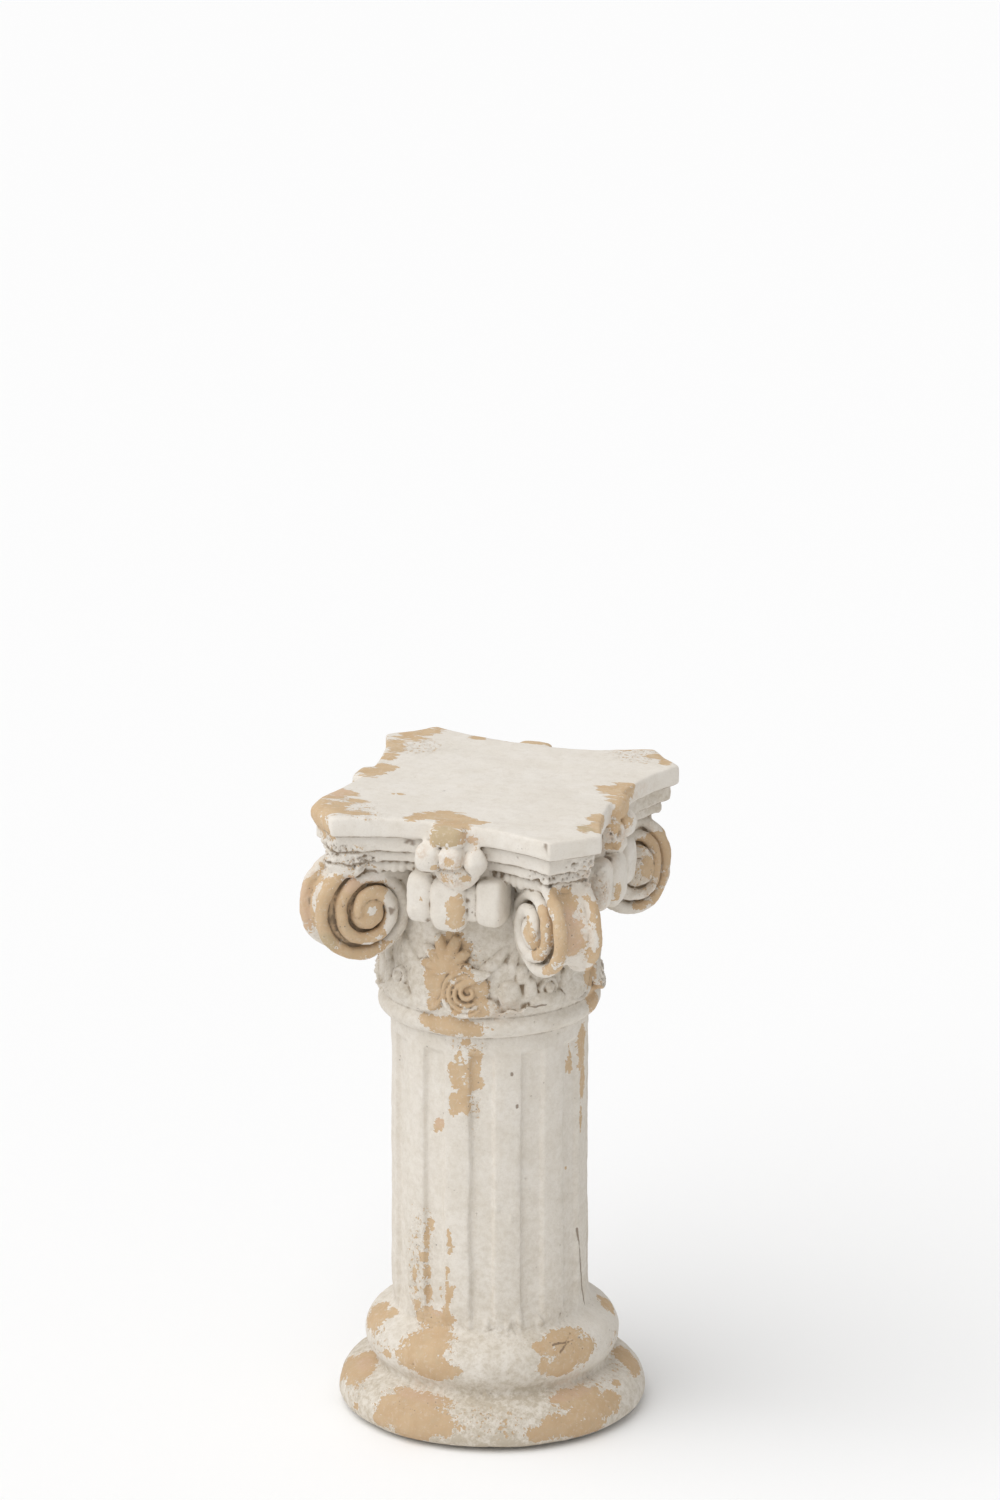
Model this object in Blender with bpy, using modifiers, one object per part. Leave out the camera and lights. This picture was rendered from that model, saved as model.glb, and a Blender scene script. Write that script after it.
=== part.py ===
"""Garden pedestal: a short fluted column with a square, four-volute capital, cast as one piece.

Metres, +Z up. The origin is at the centre of the underside and the abacus's front side faces -Y.
The base, shaft, neck ring and bell are turned, the flutes are cut into the shaft, and the
capital's volutes, eggs, beads, leaves and abacus are joined on, so the result is one solid.
"""
import math

import bmesh
import bpy
from mathutils import Matrix, Vector

# Driving dimensions
HEIGHT = 0.634
BASE_RADIUS = 0.150
SHAFT_RADIUS = 0.0957
TURN_STEPS = 36
# Share of the faces kept once everything is joined, to clear the slivers along the joins
LIGHTEN_RATIO = 0.72

# Base: a spreading foot, a throat, and a round torus under the shaft
FOOT_HEIGHT = 0.046
FOOT_ROUNDING = 0.012
FOOT_STEPS = 5
THROAT_RADIUS = 0.1135
TORUS_RADIUS = 0.027
TORUS_CENTRE = (0.0968, 0.0735)
TORUS_SWEEP = (72, -52)

# Shaft: shallow flutes between flat lands, a land at the middle of each side
SHAFT_BOTTOM = 0.1015
SHAFT_TOP = 0.408
FLUTES = 12
FLUTE_BOTTOM = 0.113
FLUTE_TOP = 0.391
FLUTE_HALF_WIDTH = 0.0125
FLUTE_DEPTH = 0.0038
FLUTE_END_RISE = 0.016

# Neck ring and bell, the bell listed from under the abacus downwards
RING_RADIUS = 0.0108
RING_CENTRE = (0.0972, 0.419)
RING_SWEEP = (55, -70)
BELL_PROFILE = [(0.110, 0.600), (0.104, 0.570), (0.097, 0.520), (0.1015, 0.468), (0.106, 0.440)]

# Abacus: four hollow sides with cut corners, in bands that step in from the top downwards,
# each band given by its thickness, how far it is set in, and how far its edges are rounded
ABACUS_HALF = 0.1496
ABACUS_SHOULDER = 0.1102
SIDE_HOLLOW = 0.0233
SIDE_SEGMENTS = 5
ABACUS_BANDS = [(0.0195, 0.0, 0.0012), (0.0125, 0.0085, 0.0012),
                (0.0115, 0.0150, 0.0040), (0.0140, 0.0215, 0.0040)]
BAND_OVERLAP = 0.001

# Volutes: a scroll standing in each diagonal plane, with a spiral rope on both of its faces.
# Lengths are from the eye; turns are counted from the outermost point of the scroll.
VOLUTE_EYE = (0.1478, 0.5300)
VOLUTE_REACH = 0.0475
VOLUTE_PITCH = 0.0132
VOLUTE_TURNS = (-0.25, 1.75)
VOLUTE_HALF_THICKNESS = 0.0185
VOLUTE_EDGE = 0.001
VOLUTE_SHORTENING = [0.0, 0.28, 0.10, 0.0]
BAND_HOLLOW = 0.0045
ROPE_RADIUS = 0.0064
ROPE_STEPS = 12
# A rope lies this far from the scroll's middle, rises towards the eye with each turn, and
# draws in towards the outside, so that the two faces taper together
ROPE_OFFSET = 0.0225
ROPE_CLIMB = 0.0025
FACE_TAPER = 0.07
EYE_SIZE = (0.034, 0.034, 0.021)
WEB_SIZE = (0.060, 0.080, 0.034)
WEB_PLACE = (-0.040, 0.022, 0.0)

# Ornament in the middle of each side, from the boss down: (size, place), both in the side's own
# directions, which are along the side, outwards and up
BOSS = ((0.050, 0.038, 0.027), (0.009, 0.1285, 0.6202))
BEADS = [((0.0265, 0.022, 0.032), (-0.0185, 0.134, 0.6020)),
         ((0.0280, 0.022, 0.029), (0.0305, 0.134, 0.6030)),
         ((0.0200, 0.020, 0.021), (0.0060, 0.139, 0.6040)),
         ((0.0380, 0.026, 0.027), (0.0100, 0.130, 0.5830))]
EGGS = [((0.0290, 0.036, 0.056), (-0.0310, 0.111, 0.5520)),
        ((0.0370, 0.036, 0.056), (0.0060, 0.117, 0.5500)),
        ((0.0310, 0.036, 0.054), (0.0425, 0.111, 0.5530))]
LUMP_SQUARENESS = 0.75
LARGE_LUMP_SIDES = 8
SMALL_LUMP_SIDES = 6

# Low relief on the bell, the same on each of the four sides; angles are from the side's middle
RELIEF_TURN = -5
PETAL_ANGLES = [-66, -34, 0, 34, 66]
PETAL_SIZE = (0.0165, 0.017, 0.036)
PETAL_ROOT = (0.0985, 0.484)
STEM_SIZE = (0.016, 0.018, 0.060)
CURL_ANGLE = 13
CURL_RADIUS = 0.0175
CURL_ROPE = 0.0044
CURL_TURNS = 1.3
CURL_CLOSING = 0.75
CURL_STEPS = 9
CURL_PLACE = (0.1020, 0.4600)
BUD_ANGLES = [-31, 33, 50]
BUD_SIZE = (0.024, 0.018, 0.030)
BUD_PLACE = (0.0985, 0.4560)


def clear_scene():
    for obj in list(bpy.data.objects):
        bpy.data.objects.remove(obj, do_unlink=True)


def new_collection(name):
    made = bpy.data.collections.new(name)
    bpy.context.scene.collection.children.link(made)
    return made


def arc(centre, radius, start, end, steps):
    """Points (radius, height) on a circular arc, from one angle in degrees to another."""
    points = []
    for i in range(steps + 1):
        angle = math.radians(start + (end - start) * i / steps)
        points.append((centre[0] + radius * math.cos(angle), centre[1] + radius * math.sin(angle)))
    return points


def foot_profile():
    """The spreading foot, rounding from the throat down to a steep edge at the floor."""
    points = []
    for i in range(FOOT_STEPS + 1):
        angle = math.pi / 2 * (1 - i / FOOT_STEPS)
        radius = THROAT_RADIUS + (BASE_RADIUS - THROAT_RADIUS) * math.cos(angle)
        rise = (FOOT_HEIGHT - FOOT_ROUNDING) * math.sin(angle)
        points.append((radius, FOOT_ROUNDING + rise))
    return points + [(BASE_RADIUS - FOOT_ROUNDING / 2, 0.0)]


def column_profile():
    """The whole turned outline, from the top centre down the outside to the bottom centre."""
    points = [(0.0, BELL_PROFILE[0][1])] + BELL_PROFILE
    points += arc(RING_CENTRE, RING_RADIUS, *RING_SWEEP, 3)
    points += [(SHAFT_RADIUS, SHAFT_TOP), (SHAFT_RADIUS, SHAFT_BOTTOM)]
    points += arc(TORUS_CENTRE, TORUS_RADIUS, *TORUS_SWEEP, 5)
    return points + foot_profile() + [(0.0, 0.0)]


def turned_object(name, profile, target):
    mesh = bpy.data.meshes.new(name)
    edges = [(i, i + 1) for i in range(len(profile) - 1)]
    mesh.from_pydata([(radius, 0, height) for radius, height in profile], edges, [])
    obj = bpy.data.objects.new(name, mesh)
    screw = obj.modifiers.new("Turn", 'SCREW')
    screw.steps = TURN_STEPS
    screw.render_steps = TURN_STEPS
    screw.use_merge_vertices = True
    screw.merge_threshold = 0.00001
    target.objects.link(obj)
    return obj


def hide_as_tool(obj):
    obj.hide_render = True
    obj.display_type = 'WIRE'
    return obj


def mesh_solid(name, fill, target):
    """A mesh object filled by a function that adds its form to a bmesh."""
    bm = bmesh.new()
    fill(bm)
    mesh = bpy.data.meshes.new(name)
    bm.to_mesh(mesh)
    bm.free()
    obj = bpy.data.objects.new(name, mesh)
    target.objects.link(obj)
    return hide_as_tool(obj)


def curve_solid(name, curve, matrix, target):
    """Turn a curve that has thickness into a closed mesh, with its caps welded on."""
    source = bpy.data.objects.new(name + "_curve", curve)
    bpy.context.scene.collection.objects.link(source)
    bpy.context.view_layer.update()
    evaluated = source.evaluated_get(bpy.context.evaluated_depsgraph_get())
    mesh = bpy.data.meshes.new_from_object(evaluated)
    bm = bmesh.new()
    bm.from_mesh(mesh)
    bmesh.ops.remove_doubles(bm, verts=bm.verts, dist=0.00001)
    bmesh.ops.recalc_face_normals(bm, faces=bm.faces)
    bm.to_mesh(mesh)
    bm.free()
    obj = bpy.data.objects.new(name, mesh)
    obj.matrix_world = matrix
    target.objects.link(obj)
    bpy.data.objects.remove(source)
    return hide_as_tool(obj)


def flat_outline(name, points, thickness, rounding):
    """A filled 2D curve of the given outline, with its upper and lower edges rounded."""
    curve = bpy.data.curves.new(name, 'CURVE')
    curve.dimensions = '2D'
    curve.fill_mode = 'BOTH'
    curve.extrude = thickness / 2 - rounding
    curve.bevel_depth = rounding
    curve.bevel_resolution = 0
    curve.offset = -rounding
    spline = curve.splines.new('POLY')
    spline.points.add(len(points) - 1)
    for point, (x, y) in zip(spline.points, points):
        point.co = (x, y, 0, 1)
    spline.use_cyclic_u = True
    return curve


def rope(name, points, radii, resolution):
    """A round rope along 3D points, its thickness following the given radii."""
    curve = bpy.data.curves.new(name, 'CURVE')
    curve.dimensions = '3D'
    curve.bevel_depth = 1.0
    curve.bevel_resolution = resolution
    curve.use_fill_caps = True
    spline = curve.splines.new('POLY')
    spline.points.add(len(points) - 1)
    for point, place, radius in zip(spline.points, points, radii):
        point.co = (*place, 1)
        point.radius = radius
    return curve


def add_flutes(target):
    """Round-ended gouges, set so that only their inner edge enters the shaft."""
    radius = (FLUTE_HALF_WIDTH ** 2 + FLUTE_DEPTH ** 2) / (2 * FLUTE_DEPTH)
    length = FLUTE_TOP - FLUTE_BOTTOM
    away = SHAFT_RADIUS - FLUTE_DEPTH + radius

    def gouge(bm):
        bmesh.ops.create_uvsphere(bm, u_segments=24, v_segments=8, radius=radius)
        for vert in bm.verts:
            upper = vert.co.z > 0
            vert.co.z *= FLUTE_END_RISE / radius
            vert.co.z += (length / 2 - FLUTE_END_RISE) * (1 if upper else -1)
    for i in range(FLUTES):
        angle = 2 * math.pi * (i + 0.5) / FLUTES
        obj = mesh_solid(f"flute_{i}", gouge, target)
        obj.location = (away * math.sin(angle), -away * math.cos(angle), FLUTE_BOTTOM + length / 2)
        obj.rotation_euler = (0, 0, angle)


def abacus_outline(inset):
    """Plan of one abacus band: four hollow sides meeting cut corners, all moved in by inset."""
    half = ABACUS_HALF - inset
    shoulder = ABACUS_SHOULDER - (math.sqrt(2) - 1) * inset
    radius = (shoulder ** 2 + SIDE_HOLLOW ** 2) / (2 * SIDE_HOLLOW)
    reach = math.asin(shoulder / radius)
    points = []
    for side in range(4):
        turn = Matrix.Rotation(side * math.pi / 2, 2)
        for i in range(SIDE_SEGMENTS + 1):
            angle = reach * (2 * i / SIDE_SEGMENTS - 1)
            depth = radius * math.cos(angle) - (radius - SIDE_HOLLOW)
            points.append(turn @ Vector((radius * math.sin(angle), depth - half)))
    return points


def add_abacus(target):
    top = HEIGHT
    for i, (thickness, inset, rounding) in enumerate(ABACUS_BANDS):
        full = thickness + BAND_OVERLAP
        curve = flat_outline(f"band_{i}", abacus_outline(inset), full, rounding)
        middle = top - full / 2 + (BAND_OVERLAP / 2 if i else 0)
        curve_solid(f"abacus_band_{i}", curve, Matrix.Translation((0, 0, middle)), target)
        top -= thickness


def upright_frame(angle):
    """Axes of a place round the capital: X along the side, Y outwards, Z up."""
    turn = math.radians(angle)
    along = Vector((math.cos(turn), math.sin(turn), 0))
    outward = Vector((math.sin(turn), -math.cos(turn), 0))
    return along, outward, Vector((0, 0, 1))


def set_place(obj, axes, place, size=(1, 1, 1), lean=0.0):
    """Put an object at a place given along the axes, leaning it about the outward axis."""
    spin = Matrix.Rotation(lean, 3, 'Y')
    columns = [sum((axes[i] * spin[i][j] for i in range(3)), Vector()) * size[j] for j in range(3)]
    matrix = Matrix(columns).transposed().to_4x4()
    matrix.translation = sum((axes[i] * place[i] for i in range(3)), Vector())
    obj.matrix_world = matrix


def squared(value):
    return math.copysign(abs(value) ** LUMP_SQUARENESS, value)


def add_lump(name, angle, size, place, target, lean=0.0, sides=SMALL_LUMP_SIDES):
    """A softly squared lump of clay, stood at an angle round the capital."""
    def pebble(bm):
        bmesh.ops.create_uvsphere(bm, u_segments=sides, v_segments=sides // 2 + 1, radius=1)
        for vert in bm.verts:
            vert.co = Vector([squared(value) / 2 for value in vert.co])
        if axes[0].cross(axes[1]).dot(axes[2]) < 0:
            bmesh.ops.reverse_faces(bm, faces=bm.faces)
    axes = upright_frame(angle)
    obj = mesh_solid(name, pebble, target)
    set_place(obj, axes, place, size, lean)


def spiral(turn, shortening, margin):
    """A point of the scroll after some turns, as (outwards, up), inside its edge by a margin."""
    angle = -2 * math.pi * turn
    reach = VOLUTE_REACH - VOLUTE_PITCH * turn - margin
    out = reach * math.cos(angle)
    if out > 0:
        out *= 1 - shortening
    return out, reach * math.sin(angle)


def face_offset(turn, out):
    """How far the rope lies from the scroll's middle: the faces draw together outwards."""
    return ROPE_OFFSET + ROPE_CLIMB * turn - FACE_TAPER * out


def add_volute(corner, target):
    angle = math.radians(-45 + 90 * corner)
    outward = Vector((math.cos(angle), math.sin(angle), 0))
    up = Vector((0, 0, 1))
    frame = Matrix((outward, up, outward.cross(up))).transposed().to_4x4()
    frame.translation = outward * VOLUTE_EYE[0] + up * VOLUTE_EYE[1]
    shortening = VOLUTE_SHORTENING[corner]
    first, last = VOLUTE_TURNS
    edge = [spiral(first + i / ROPE_STEPS, shortening, BAND_HOLLOW) for i in range(ROPE_STEPS + 1)]
    body = flat_outline(f"scroll_{corner}", edge, 2 * VOLUTE_HALF_THICKNESS, VOLUTE_EDGE)
    curve_solid(f"volute_{corner}", body, frame, target)
    steps = round((last - first) * ROPE_STEPS)
    for side in (-1, 1):
        points, radii = [], []
        for i in range(steps + 1):
            turn = first + (last - first) * i / steps
            out, up_there = spiral(turn, shortening, ROPE_RADIUS)
            points.append((out, up_there, side * face_offset(turn, out)))
            radii.append(ROPE_RADIUS)
        curve = rope(f"rope_{corner}_{side}", points, radii, 1)
        curve_solid(f"volute_rope_{corner}_{side}", curve, frame, target)

        def button(bm):
            bmesh.ops.create_uvsphere(bm, u_segments=8, v_segments=4, radius=0.5)
        eye = mesh_solid(f"volute_eye_{corner}_{side}", button, target)
        place = Matrix.Translation((0, 0, side * face_offset(last, 0)))
        eye.matrix_world = frame @ place @ Matrix.Diagonal((*EYE_SIZE, 1))

    def block(bm):
        bmesh.ops.create_cube(bm, size=1)
    web = mesh_solid(f"volute_web_{corner}", block, target)
    web.matrix_world = frame @ Matrix.Translation(WEB_PLACE) @ Matrix.Diagonal((*WEB_SIZE, 1))


def add_fleuron(side, target):
    """The boss on the abacus, and the beads, drop and eggs that hang below it."""
    for i, (size, place) in enumerate([BOSS] + EGGS):
        add_lump(f"egg_{side}_{i}", 90 * side, size, place, target, sides=LARGE_LUMP_SIDES)
    for i, (size, place) in enumerate(BEADS):
        add_lump(f"bead_{side}_{i}", 90 * side, size, place, target)


def add_palmette(side, target):
    """Petals fanned out over a stem, standing on the lower bell."""
    facing = 90 * side + RELIEF_TURN
    distance, height = PETAL_ROOT
    for i, lean in enumerate(PETAL_ANGLES):
        turn = math.radians(lean)
        reach = PETAL_SIZE[2] / 2
        place = (reach * math.sin(turn), distance, height + reach * math.cos(turn))
        add_lump(f"petal_{side}_{i}", facing, PETAL_SIZE, place, target, lean=turn)
    place = (0, distance, height - STEM_SIZE[2] / 3)
    add_lump(f"stem_{side}", facing, STEM_SIZE, place, target)


def add_curl(side, hand, target):
    """A small scroll rolled outwards from the palmette's stem."""
    along, outward, up = upright_frame(90 * side + RELIEF_TURN + hand * CURL_ANGLE)
    frame = Matrix((along, outward, up)).transposed().to_4x4()
    frame.translation = outward * CURL_PLACE[0] + up * CURL_PLACE[1]
    points = []
    for i in range(CURL_STEPS + 1):
        angle = 2 * math.pi * CURL_TURNS * i / CURL_STEPS
        reach = CURL_RADIUS * (1 - CURL_CLOSING * i / CURL_STEPS) - CURL_ROPE / 2
        points.append((-hand * reach * math.cos(angle), 0, reach * math.sin(angle)))
    curve = rope(f"curl_{side}_{hand}", points, [CURL_ROPE] * len(points), 0)
    curve_solid(f"bell_curl_{side}_{hand}", curve, frame, target)


def add_bell_relief(side, target):
    add_palmette(side, target)
    for hand in (-1, 1):
        add_curl(side, hand, target)
    for i, angle in enumerate(BUD_ANGLES):
        add_lump(f"bud_{side}_{i}", 90 * side + angle, BUD_SIZE, (0, *BUD_PLACE), target)


def casting_material():
    material = bpy.data.materials.new("painted_casting")
    material.use_nodes = True
    shader = material.node_tree.nodes["Principled BSDF"]
    shader.inputs["Base Color"].default_value = (0.70, 0.66, 0.58, 1)
    shader.inputs["Roughness"].default_value = 0.85
    shader.inputs["Metallic"].default_value = 0.0
    return material


def build():
    clear_scene()
    parts = new_collection("garden_pedestal")
    cutters = new_collection("flute_cutters")
    ornament = new_collection("capital_ornament")
    pedestal = turned_object("pedestal", column_profile(), parts)
    pedestal.data.materials.append(casting_material())
    add_flutes(cutters)
    add_abacus(ornament)
    for corner in range(4):
        add_volute(corner, ornament)
    for side in range(4):
        add_fleuron(side, ornament)
        add_bell_relief(side, ornament)
    for label, operation, source in (("Flutes", 'DIFFERENCE', cutters),
                                     ("Ornament", 'UNION', ornament)):
        boolean = pedestal.modifiers.new(label, 'BOOLEAN')
        boolean.operation = operation
        boolean.operand_type = 'COLLECTION'
        boolean.collection = source
        boolean.solver = 'EXACT'
        boolean.use_self = operation == 'UNION'
    lighten = pedestal.modifiers.new("Lighten", 'DECIMATE')
    lighten.ratio = LIGHTEN_RATIO


build()
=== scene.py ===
import itertools
import math

import bmesh
import bpy
import numpy as np
from mathutils import Matrix, Vector


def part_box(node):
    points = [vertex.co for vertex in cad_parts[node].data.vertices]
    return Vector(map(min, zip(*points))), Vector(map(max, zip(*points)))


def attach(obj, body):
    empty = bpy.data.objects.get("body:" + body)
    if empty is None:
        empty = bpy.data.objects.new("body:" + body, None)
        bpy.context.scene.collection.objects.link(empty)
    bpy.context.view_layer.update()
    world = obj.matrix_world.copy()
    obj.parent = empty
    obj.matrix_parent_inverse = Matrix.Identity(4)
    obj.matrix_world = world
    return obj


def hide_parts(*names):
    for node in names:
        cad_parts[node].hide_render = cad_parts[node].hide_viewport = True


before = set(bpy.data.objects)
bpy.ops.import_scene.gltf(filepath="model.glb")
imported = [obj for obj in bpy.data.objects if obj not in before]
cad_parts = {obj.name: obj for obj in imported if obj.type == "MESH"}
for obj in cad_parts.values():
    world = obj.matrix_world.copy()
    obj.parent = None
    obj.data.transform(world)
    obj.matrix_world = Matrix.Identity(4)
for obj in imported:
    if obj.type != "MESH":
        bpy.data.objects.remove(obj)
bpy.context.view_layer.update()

# The turned core of the casting: a round foot, a torus, the shaft, the neck ring and the bell.
# It is cement cast in a plaster mould, in one pour with everything that stands on it, so every
# form below is a lump of the same clay, and they are made one when all of them are in place.
floor_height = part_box("pedestal")[0].z
top_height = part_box("pedestal")[1].z
clay = bmesh.new()
UP = Vector((0, 0, 1))


def skin(rings):
    """Cover a run of rings, each a list of points, and close both ends: one solid lump of clay."""
    loops = [[clay.verts.new(point) for point in ring] for ring in rings]
    count = len(loops[0])
    for low, high in zip(loops, loops[1:]):
        for i in range(count):
            j = (i + 1) % count
            clay.faces.new((low[i], low[j], high[j], high[i]))
    clay.faces.new(list(reversed(loops[0])))
    clay.faces.new(loops[-1])


def arc(centre, radius, start, end, steps):
    """Points (distance from the axis, height) on an arc, from one angle in degrees to another."""
    angles = [math.radians(start + (end - start) * i / steps) for i in range(steps + 1)]
    return [(centre[0] + radius * math.cos(a), centre[1] + radius * math.sin(a)) for a in angles]


base_radius = 0.150
foot_height = 0.046
foot_rounding = 0.014
throat_radius = 0.1135
torus_centre = (0.0968, 0.0735)
torus_radius = 0.0272
shaft_radius = 0.0957
shaft_bottom = 0.108
shaft_top = 0.408
ring_centre = (0.0968, 0.4195)
ring_radius = 0.0112
bell_outline = [(0.1062, 0.436), (0.1040, 0.452), (0.1010, 0.470), (0.0985, 0.490),
                (0.0975, 0.515), (0.0985, 0.540), (0.1030, 0.570), (0.1100, 0.600)]
underside = [(0.001, 0.0), (0.060, 0.0)]
shaft_flare = [(0.1030, 0.1010), (0.0985, 0.1035), (0.0966, 0.1060)]
core_top = (0.001, 0.600)
turn_steps = 220


def foot_outline():
    """The spreading foot, from its worn lower edge up to the throat under the torus."""
    outline = arc((base_radius - foot_rounding * 0.8, foot_rounding), foot_rounding * 0.8, -90, 0, 5)
    steps = 12
    for i in range(1, steps + 1):
        angle = math.pi / 2 * i / steps
        outline.append((throat_radius + (base_radius - throat_radius) * math.cos(angle),
                        foot_rounding + (foot_height - foot_rounding) * math.sin(angle)))
    return outline


core = underside + foot_outline()
core += arc(torus_centre, torus_radius, -48, 62, 16)
core += shaft_flare
core += [(shaft_radius, shaft_bottom), (shaft_radius, shaft_top)]
core += arc(ring_centre, ring_radius, -68, 58, 12)
core += bell_outline + [core_top]
turn_angles = [2 * math.pi * i / turn_steps for i in range(turn_steps)]
skin([[(radius * math.cos(angle), radius * math.sin(angle), floor_height + height) for angle in turn_angles]
      for radius, height in core])

# The abacus: a square slab with four hollow sides and cut corners, over three thinner bands that
# step in under it. Each band is one moulding of the same casting, with its edges rounded by wear.
abacus_half = 0.1496
abacus_shoulder = 0.1102
side_hollow = 0.0233
side_steps = 40
corner_steps = 8
# Each band by its thickness, how far it steps in, and the rounding of its edges
slab_bands = [(0.0187, 0.0, 0.0022), (0.0170, 0.0080, 0.0040), (0.0116, 0.0148, 0.0036)]
wave_band = (0.0120, 0.0225, 0.0050)
band_overlap = 0.001
rounding_steps = 4


def abacus_plan(inset):
    """Plan of a band: four hollow sides meeting cut corners, all moved in by the inset."""
    half = abacus_half - inset
    shoulder = abacus_shoulder - (math.sqrt(2) - 1) * inset
    radius = (shoulder ** 2 + side_hollow ** 2) / (2 * side_hollow)
    reach = math.asin(shoulder / radius)
    plan = []
    for side in range(4):
        turn = Matrix.Rotation(side * math.pi / 2, 2)
        hollow = []
        for i in range(side_steps + 1):
            angle = reach * (2 * i / side_steps - 1)
            depth = radius * math.cos(angle) - (radius - side_hollow)
            hollow.append(turn @ Vector((radius * math.sin(angle), depth - half)))
        plan += hollow
        following = Matrix.Rotation((side + 1) * math.pi / 2, 2) @ Vector((-shoulder, -half))
        plan += [hollow[-1].lerp(following, i / corner_steps) for i in range(1, corner_steps)]
    return plan


def lay_band(top, thickness, inset, rounding):
    """One band of the abacus, its upper and lower edges rounded."""
    rings = []
    for edge, level in ((-1, top - thickness + rounding), (1, top - rounding)):
        for step in range(rounding_steps + 1):
            share = step / rounding_steps
            angle = math.pi / 2 * (share if edge > 0 else 1 - share)
            extra = rounding * (1 - math.cos(angle))
            height = level + edge * rounding * math.sin(angle)
            rings.append([(x, y, height) for x, y in abacus_plan(inset + extra)])
    skin(rings)


level = top_height
for thickness, inset, rounding in slab_bands + [wave_band]:
    lay_band(level, thickness + band_overlap, inset, rounding)
    level -= thickness
under_abacus = level


def place_on(angle, along, outward, height):
    """A point given by a side's own directions, that side turned by an angle in degrees."""
    turn = math.radians(angle)
    east = Vector((math.cos(turn), math.sin(turn), 0))
    out = Vector((math.sin(turn), -math.cos(turn), 0))
    return east * along + out * outward + UP * height, (east, out, UP)


def pebble(centre, axes, size, squareness=0.8, steps=(9, 18)):
    """A softly squared lump of clay. Its size is its whole width along each of the three axes."""
    def squared(value):
        return math.copysign(abs(value) ** squareness, value)
    rings = []
    for i in range(1, steps[0]):
        tilt = math.pi * (i / steps[0] - 0.5)
        ring = []
        for j in range(steps[1]):
            angle = 2 * math.pi * j / steps[1]
            local = Vector((squared(math.cos(tilt)) * squared(math.cos(angle)) * size[0] / 2,
                            squared(math.cos(tilt)) * squared(math.sin(angle)) * size[1] / 2,
                            squared(math.sin(tilt)) * size[2] / 2))
            ring.append(centre + axes[0] * local.x + axes[1] * local.y + axes[2] * local.z)
        rings.append(ring)
    skin(rings)


# A worn row of soft tongues hangs from the lowest band like one wavy strip, its ends rubbed away.
# None stands behind the flower in the middle of the side.
tongue_pitch = 0.0076
tongue_size = (0.0112, 0.0104, 0.0170)
tongue_inset = 0.0024
last_tongue = 12
flower_middle, flower_half = 0.004, 0.038
tongues = np.random.default_rng(11)
for side in range(4):
    for step in range(-last_tongue, last_tongue + 1):
        along = step * tongue_pitch + tongues.uniform(-0.0012, 0.0012)
        if abs(along - flower_middle) < flower_half:
            continue
        sag = side_hollow * (1 - (along / abacus_shoulder) ** 2)
        outward = abacus_half - wave_band[1] - sag - tongue_inset + tongues.uniform(-0.0006, 0.0006)
        height = under_abacus + tongues.uniform(0.0052, 0.0066)
        centre, axes = place_on(90 * side, along, outward, height)
        pebble(centre, axes, [value * tongues.uniform(0.9, 1.1) for value in tongue_size], 1.0)

# A lump of rough plaster filled in the ends of the lower bands at the left front corner
plaster_place = (-0.1035, 0.127, 0.586)
plaster_size = (0.041, 0.026, 0.034)
centre, axes = place_on(0, *plaster_place)
pebble(centre, axes, plaster_size)

# The volutes: one scroll at each corner, standing out in the diagonal plane under the abacus.
# Each is a disc with a hollow band round its edge, and a thick rope coiled on both of its faces.
volute_eye = (0.1440, 0.5325)
# At each quarter of a turn from the top: how far the middle of the rope is from the eye, and its radius
coil_reach = [0.0487, 0.0453, 0.0425, 0.0398, 0.0350, 0.0272, 0.0260, 0.0245, 0.0205, 0.0110]
coil_radius = [0.0066, 0.0070, 0.0065, 0.0061, 0.0058, 0.0062, 0.0063, 0.0062, 0.0062, 0.0050]
coil_turns = 2.25
# The rope's distance from the middle of the disc, and how much it climbs in each turn after the first
# quarter
rope_offset = 0.0178
rope_climb = 0.0062
flat_turn = 0.25
rope_steps = 44
# The band between the faces is hollow, and each face stands out like a low cone. Its rings lie this
# share of the half width from the middle, and those of a cone this far inside the edge.
disc_half = 0.0165
disc_cone = 0.15
disc_edge = 0.002
disc_steps = 64
band_hollow = 0.0080
band_shares = (-1, -0.85, -0.6, -0.3, 0, 0.3, 0.6, 0.85, 1)
cone_insets = (0.012, 0.024, 0.035)
eye_size = (0.0330, 0.022, 0.0330)
eye_place = (0.0008, 0.0238)
# Lumps that join the scroll to the bell and the abacus: place (outwards, up) and size
scroll_roots = [(-0.045, 0.022, (0.060, 0.046, 0.080)), (-0.024, 0.040, (0.074, 0.054, 0.034)),
                (0.004, 0.0505, (0.038, 0.044, 0.018))]
# How much of its outward and of its downward reach each scroll has lost, from the front right corner
# anticlockwise, and how much thinner its rope is worn where it lost all of it
outward_loss = [0.0, 0.26, 0.10, 0.0]
downward_loss = [0.12, 0.04, 0.04, 0.0]
thinned = 0.7


def rope_at(turn):
    """Radius of the rope some turns on from the top."""
    return np.interp(4 * turn, range(len(coil_radius)), coil_radius)


def scroll_point(turn, losses, margin):
    """A point of the scroll some turns on from the top, as (outwards, up), inside its edge by a margin."""
    angle = math.pi / 2 - 2 * math.pi * turn
    reach = np.interp(4 * turn, range(len(coil_reach)), coil_reach) - margin
    out = reach * math.cos(angle)
    up = reach * math.sin(angle)
    if out > 0:
        out *= 1 - losses[0]
    if up < 0:
        up *= 1 - losses[1]
    return out, up


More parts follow.
